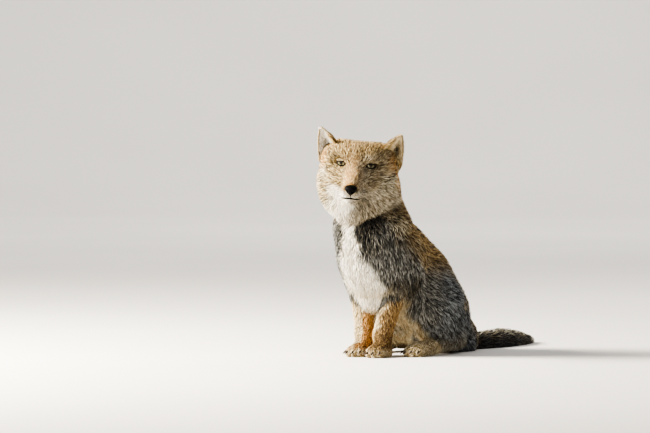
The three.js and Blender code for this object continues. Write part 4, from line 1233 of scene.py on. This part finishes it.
def straying(rng, number, columns=3):
    """Small random turns of the lie."""
    return rng.normal(0, 0.5, (number, columns))


RIM_LOCKS, FOOT_LOCKS = 700, 900
for side, name in ((1, "left"), (-1, "right")):
    # behind: short and sandy
    s, v, rng = over_ear(2300, 31 + side)
    spot, normal, to_tip, to_rim = on_ear(side, s, v, 1.0)
    lie = to_tip + 0.35 * straying(rng, len(s), 1) * to_rim
    length = rng.uniform(5, 8.5, len(s)) * (1 - 0.4 * v)
    paths, ups = combed(spot, normal, lie, length, rng.uniform(0.8, 1.7, len(s)))
    width = rng.uniform(1.0, 1.6, len(s))
    behind = paths, ups, width, named_tones(rng, len(s), "sand", "tan", ramp(v, 0.5, 0.0) * 0.8), s, v
    # in front: a long fan that leaves the hollow dark with painted shade, whiter and with less of that shade
    # on the right, which faces the light
    wide, bare, hollow_shade_share, pale = (0.34, 0.6, 0.35, "white") if side < 0 else (0.46, 0.9, 0.9, "cream")
    s, v, rng = over_ear(1000, 41 + side)
    hollow = np.exp(-(((s - 0.3) / wide) ** 2) - ((v - 0.36) / (0.65 * wide)) ** 2)
    keep = rng.random(len(s)) > hollow * bare
    s, v, hollow = s[keep], v[keep], hollow[keep]
    spot, normal, to_tip, to_rim = on_ear(side, s, v, 0.0)
    fan = ramp(s, 0.2, -0.9)
    lie = to_tip * (0.55 + 0.5 * (1 - fan))[:, None] + to_rim * (0.9 * fan - 0.15)[:, None]
    lie = lie + 0.2 * straying(rng, len(s))
    long = (7 + 12 * fan * ramp(v, 0.95, 0.3)) * rng.uniform(0.7, 1.3, len(s))
    lift = (1.0 + 3.2 * fan * ramp(v, 0.9, 0.3)) * rng.uniform(0.6, 1.2, len(s))
    paths, ups = combed(spot, normal, lie, long, lift)
    # random dark hairs, and painted shade over the hollow
    dark_hairs_and_shade = np.clip(hollow * hollow_shade_share + 0.4 * rng.random(len(s)) ** 4, 0, 0.9)
    tones = named_tones(rng, len(s), pale, "umber", dark_hairs_and_shade)
    before = paths, ups, rng.uniform(0.8, 1.4, len(s)), tones, s, v
    # a fringe along both rims
    rng = np.random.default_rng(51 + side)
    v = rng.uniform(0.0, 0.98, RIM_LOCKS)
    s = np.where(rng.random(RIM_LOCKS) < 0.5, -0.98, 0.98)
    spot, _, to_tip, _ = on_ear(side, s, v, 0.5)
    outward = unit(spot - ear_leaf(side, s * 0.8, v, 0.5 + 0 * s))
    lie = to_tip + 0.25 * straying(rng, RIM_LOCKS)
    paths, ups = combed(spot, outward, lie, rng.uniform(3, 5, RIM_LOCKS), rng.uniform(0.2, 0.9, RIM_LOCKS))
    width = rng.uniform(0.8, 1.3, RIM_LOCKS)
    gold = rng.random(RIM_LOCKS) * (0.6 if side < 0 else 0.9)
    fringe = paths, ups, width, named_tones(rng, RIM_LOCKS, "cream", "gold", gold), s, v
    # the crown's hair runs up the inner edge and across the foot of the ear
    v = rng.uniform(-0.12, 0.5, FOOT_LOCKS) * rng.random(FOOT_LOCKS) ** 0.5
    inner_edge = rng.random(FOOT_LOCKS) < 0.6
    s = np.where(inner_edge, rng.uniform(-1, -0.72, FOOT_LOCKS), rng.uniform(-1, 1, FOOT_LOCKS))
    v = np.where(s > -0.7, rng.uniform(-0.15, 0.06, FOOT_LOCKS), v)
    spot, normal, to_tip, to_rim = on_ear(side, s, v, np.where(rng.random(FOOT_LOCKS) < 0.75, 0.0, 1.0))
    lie = to_tip + 0.15 * to_rim + 0.2 * straying(rng, FOOT_LOCKS)
    paths, ups = combed(spot, normal, lie, rng.uniform(7, 12, FOOT_LOCKS), rng.uniform(1.5, 3.5, FOOT_LOCKS))
    width = rng.uniform(1.0, 1.6, FOOT_LOCKS)
    foot = paths, ups, width, named_tones(rng, FOOT_LOCKS, "sand", "olive", rng.random(FOOT_LOCKS)), s, v
    kinds = behind, before, fringe, foot
    paths, ups, width, tones, across, rise = (np.concatenate(parts) for parts in zip(*kinds))
    number = np.repeat(range(len(kinds)), [len(kind[2]) for kind in kinds])
    places = spread_round(np.stack([across + 3 * number, rise * 2, 0 * rise], 1), (0, 0, 0), (0, 1, 0))
    coat_piece("coat_ear_" + name, paths, ups, width, tones, places, rng)

LID_HAIR_FROM = 4  # the ring of the lid where hair starts
sets = []
for side in (1, -1):
    rows, columns = lid_grids[side].shape[:2]
    flat = lid_grids[side].reshape(-1, 3)
    centre, lateral, upward, out = eye_frame(side)
    quads = facing(flat, ring_quads(rows, columns), out)
    normals = point_normals(flat, [quads])
    quads = quads[quads.min(1) >= LID_HAIR_FROM * columns]
    spot, pick = scattered(flat, quads, np.full(len(quads), 1.05), 61 + side)
    away = unit((spot - EYES) @ head_axes - NOSE_TIP) @ head_axes.T
    p, h, _ = seen_from_eye(spot, side)
    radial = unit(np.stack([p / 1.8, h], 1))
    from_eye = radial[:, :1] * lateral + radial[:, 1:] * upward
    near = ramp(np.hypot(p / (OPEN_HALF + 3), h / (OPEN_UP + 3.5)), 2.2, 1.0)
    rng = np.random.default_rng(71 + side)
    lie = unit(away * (1 - 0.55 * near)[:, None] + from_eye * (near * 0.9)[:, None])
    lie = lie + rng.normal(0, 0.12, (len(spot), 3))
    long = rng.uniform(2.6, 4.6, len(spot)) * (0.7 + 0.5 * (1 - near))
    normal = normals[quads[pick, 0]]
    paths, ups = combed(spot, normal, lie, long, rng.uniform(0.5, 1.3, len(spot)))
    width, bunch = rng.uniform(0.7, 1.1, len(spot)), np.arange(len(spot)) // 3
    sets.append((paths, ups, width, coloured(spot, normal, bunch, rng), spot))
paths, ups, width, tones, spot = (np.concatenate(parts) for parts in zip(*sets))
places = spread_round(spot, *from_head([[0, 30, 0], [0, 30, 40]]))
coat_piece("coat_lids", paths, ups, width, tones, places, np.random.default_rng(5))

# ------------------------------------------------------------------ whiskers
# Stiff tapered whiskers of horn stand in four rows on each lip pad and a few over each
# eye. They are the fox's own and grow out of the hide at a slant, away from the nose.
def bristles(roots, ways, length, radius, droop, sides=5, rings=9):
    """Tapered tubes that leave along their way and bend down by the droop times the
    square of the share of the length."""
    s = np.linspace(0, 1, rings)[None, :, None]
    bend = np.array([0, 0, 1.0]) * droop[:, None, None] * s * s
    line = roots[:, None] + ways[:, None] * length[:, None, None] * s - bend
    ahead = unit(np.gradient(line, axis=1))
    one = unit(np.cross(ahead, [0.1, 0.2, 0.97]))
    two = np.cross(ahead, one)
    a = np.linspace(0, 2 * np.pi, sides, endpoint=False)[None, None, :, None]
    thick = radius * (1 - 0.88 * s)[..., None]
    return line[:, :, None] + (one[:, :, None] * np.cos(a) + two[:, :, None] * np.sin(a)) * thick


whisker, wire = material("whisker")
tone = wire.node("ShaderNodeTexCoord", out=3).noise(90.0, 1.0)
base = tone.over(0.42, 0.58).mix((30, 26, 22), (206, 196, 178))
finish(whisker, {"Base Color": base, "Roughness": tone * 0.2 + 0.35}, {"Specular IOR Level": 0.4})
roots, ways = [], []
for side in (1, -1):
    for row in range(4):
        for k in range(5):
            roots.append((side * (13.0 + 1.6 * k), -60 + 5.5 * k, -30.5 - 2.6 * row + 0.6 * k))
            ways.append((side * (1.0 + 0.1 * row), 0.15 + 0.18 * k, 0.1 - 0.16 * row))
    for k in range(3):
        roots.append((side * (17 + 3.5 * k), -6 + 1.5 * k, 14 - k))
        ways.append((side * (0.3 + 0.3 * k), -0.35, 0.8))
rng = np.random.default_rng(81)
roots, ways = np.array(roots), unit(np.array(ways) + rng.normal(0, 0.07, (len(ways), 3)))
lip = roots[:, 2] < 0
length = np.where(lip, rng.uniform(30, 48, len(roots)), rng.uniform(12, 20, len(roots)))
spots = settled(from_head(roots), 0.3, times=3, limit=8)[0]
points, faces = bundle(bristles(spots, ways @ head_axes.T, length, 0.24, np.where(lip, 7.0, 1.0)))
whiskers = mesh_piece("whiskers", metres(points), faces, whisker)

# ------------------------------------------------------------------ claws
# Four blunt horn claws stand out of the hair of each paw, curved down to the floor. Each
# grows from the end of a toe, and the hair there hides its root.
CLAW_LENGTH, CLAW_RADIUS, CLAW_DIP = 11.0, 2.1, 32.0


def claw_grid(side, paw, angle, rings=10, sides=12):
    """A horn along a falling arc: round, a little deeper than wide, tapering as the
    root of what is left of its length."""
    x, y = on_toe(paw, angle, 11.5)
    turn = turned(2, side * angle)
    s = np.linspace(0, 0.985, rings)
    dip = np.radians(CLAW_DIP) * (0.45 + 1.0 * s)
    step = np.stack([0 * s, -np.cos(dip), -np.sin(dip)], 1) * CLAW_LENGTH / rings
    line = np.cumsum(step, 0) - step.sum(0) / 2 + [0, 0, 0.6]
    a = np.linspace(0, 2 * np.pi, sides, endpoint=False)
    ring = np.stack([np.cos(a), 0 * a, 1.2 * np.sin(a)], 1)
    points = line[:, None] + ring[None] * (CLAW_RADIUS * (1 - s) ** 0.6)[:, None, None]
    return points @ turn.T + [side * x, y, 7.0]


horn, wire = material("claw_horn")
layers = wire.node("ShaderNodeTexCoord", out=3).noise(600.0, 3.0)
base = layers.over(0.3, 0.7).mix((34, 28, 24), (92, 80, 66))
bump = layers.bump(0.3, 0.0002)
polished = {"Specular IOR Level": 0.5}
finish(horn, {"Base Color": base, "Roughness": layers * 0.2 + 0.35, "Normal": bump}, polished)
for side, word in ((1, "left"), (-1, "right")):
    for paw, kind in ((FOREPAW, "foreclaw"), (HINDPAW, "hindclaw")):
        points, faces = bundle([claw_grid(side, paw, angle) for angle in TOE_ANGLES])
        claws = mesh_piece(kind + "s_" + word, metres(points), faces, horn)
        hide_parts(*[f"{kind}_{word}_{k}" for k in range(1, 5)])

# ------------------------------------------------------------------ floor and lights
# A pale floor that sweeps up into a wall behind, a broad soft light from the left of
# the camera, weak ones beside it and from behind the fox, one that looks at the wall,
# and an even pale room.
def sweep(width=16.0, front=-10.0, turn_at=7.0, radius=3.0, height=7.0):
    """The floor's profile, flat, then a quarter circle, then upright, drawn across."""
    a = np.linspace(0, np.pi / 2, 24)
    y = np.concatenate([[front], turn_at + radius * np.sin(a), [turn_at + radius]])
    z = np.concatenate([[0], radius * (1 - np.cos(a)), [height]])
    x = np.array([-width / 2, width / 2])
    return np.stack(np.broadcast_arrays(x[None, :], y[:, None], z[:, None]), -1)


backdrop, wire = material("backdrop")
mottle = wire.node("ShaderNodeTexCoord", out=3).noise(1.4, 2.0).over(0.3, 0.7)
plaster = {0: mottle, 6: (0.82, 0.79, 0.74, 1), 7: (0.85, 0.82, 0.77, 1)}
base = wire.node("ShaderNodeMix", {"data_type": "RGBA"}, plaster, 2)
finish(backdrop, {"Base Color": base}, {"Roughness": 0.9, "Specular IOR Level": 0.1})
grid = sweep()
floor_axes = np.array([[right[0], right[1], 0], [-toward[0], -toward[1], 0], [0, 0, 1]])
index = np.arange(grid.shape[0] * 2).reshape(-1, 2)
floor_quads = np.stack([index[:-1, 0], index[:-1, 1], index[1:, 1], index[1:, 0]], 1)
floor_mesh = bpy.data.meshes.new("floor")
floor_mesh.from_pydata((grid.reshape(-1, 3) @ floor_axes).tolist(), [], floor_quads.tolist())
floor_mesh.polygons.foreach_set("use_smooth", np.ones(len(floor_mesh.polygons), bool))
floor_mesh.materials.append(backdrop)
floor = bpy.data.objects.new("floor", floor_mesh)
bpy.context.scene.collection.objects.link(floor)


def area_light(name, way, distance, size, power, colour, middle=(0, 0, 0.2)):
    """A square light that looks at a middle, the fox's breast, from the way given."""
    made = bpy.data.lights.new(name, "AREA")
    made.energy, made.size, made.color = power, size, colour
    light = bpy.data.objects.new(name, made)
    way = unit(np.array(way, float))
    one = unit(np.cross([0, 0, 1.0], way))
    light.matrix_world = axes_at(one, np.cross(way, one), way, way * distance + middle)
    bpy.context.scene.collection.objects.link(light)


rise = np.array([0, 0, 1.0])
beyond = -toward * 7.5 + 0.8 * rise  # a place on the wall behind the fox
area_light("key", -right + 0.2 * toward + 0.55 * rise, 2.6, 0.9, 265, (1.0, 0.94, 0.84))
area_light("fill", 0.5 * right + toward + 0.35 * rise, 3.2, 2.4, 5, (0.95, 0.97, 1.0))
area_light("rim", 0.7 * right - 0.9 * toward + 0.9 * rise, 2.8, 1.2, 16, (1.0, 0.97, 0.93))
area_light("wall", 0.5 * toward + rise, 4.0, 3.5, 150, (1.0, 0.97, 0.93), beyond)
room = bpy.data.worlds.new("room")
room.use_nodes = True
room.node_tree.nodes["Background"].inputs["Color"].default_value = (0.95, 0.96, 1.0, 1)
room.node_tree.nodes["Background"].inputs["Strength"].default_value = 0.36
bpy.context.scene.world = room
bpy.context.scene.view_settings.look = "AgX - High Contrast"
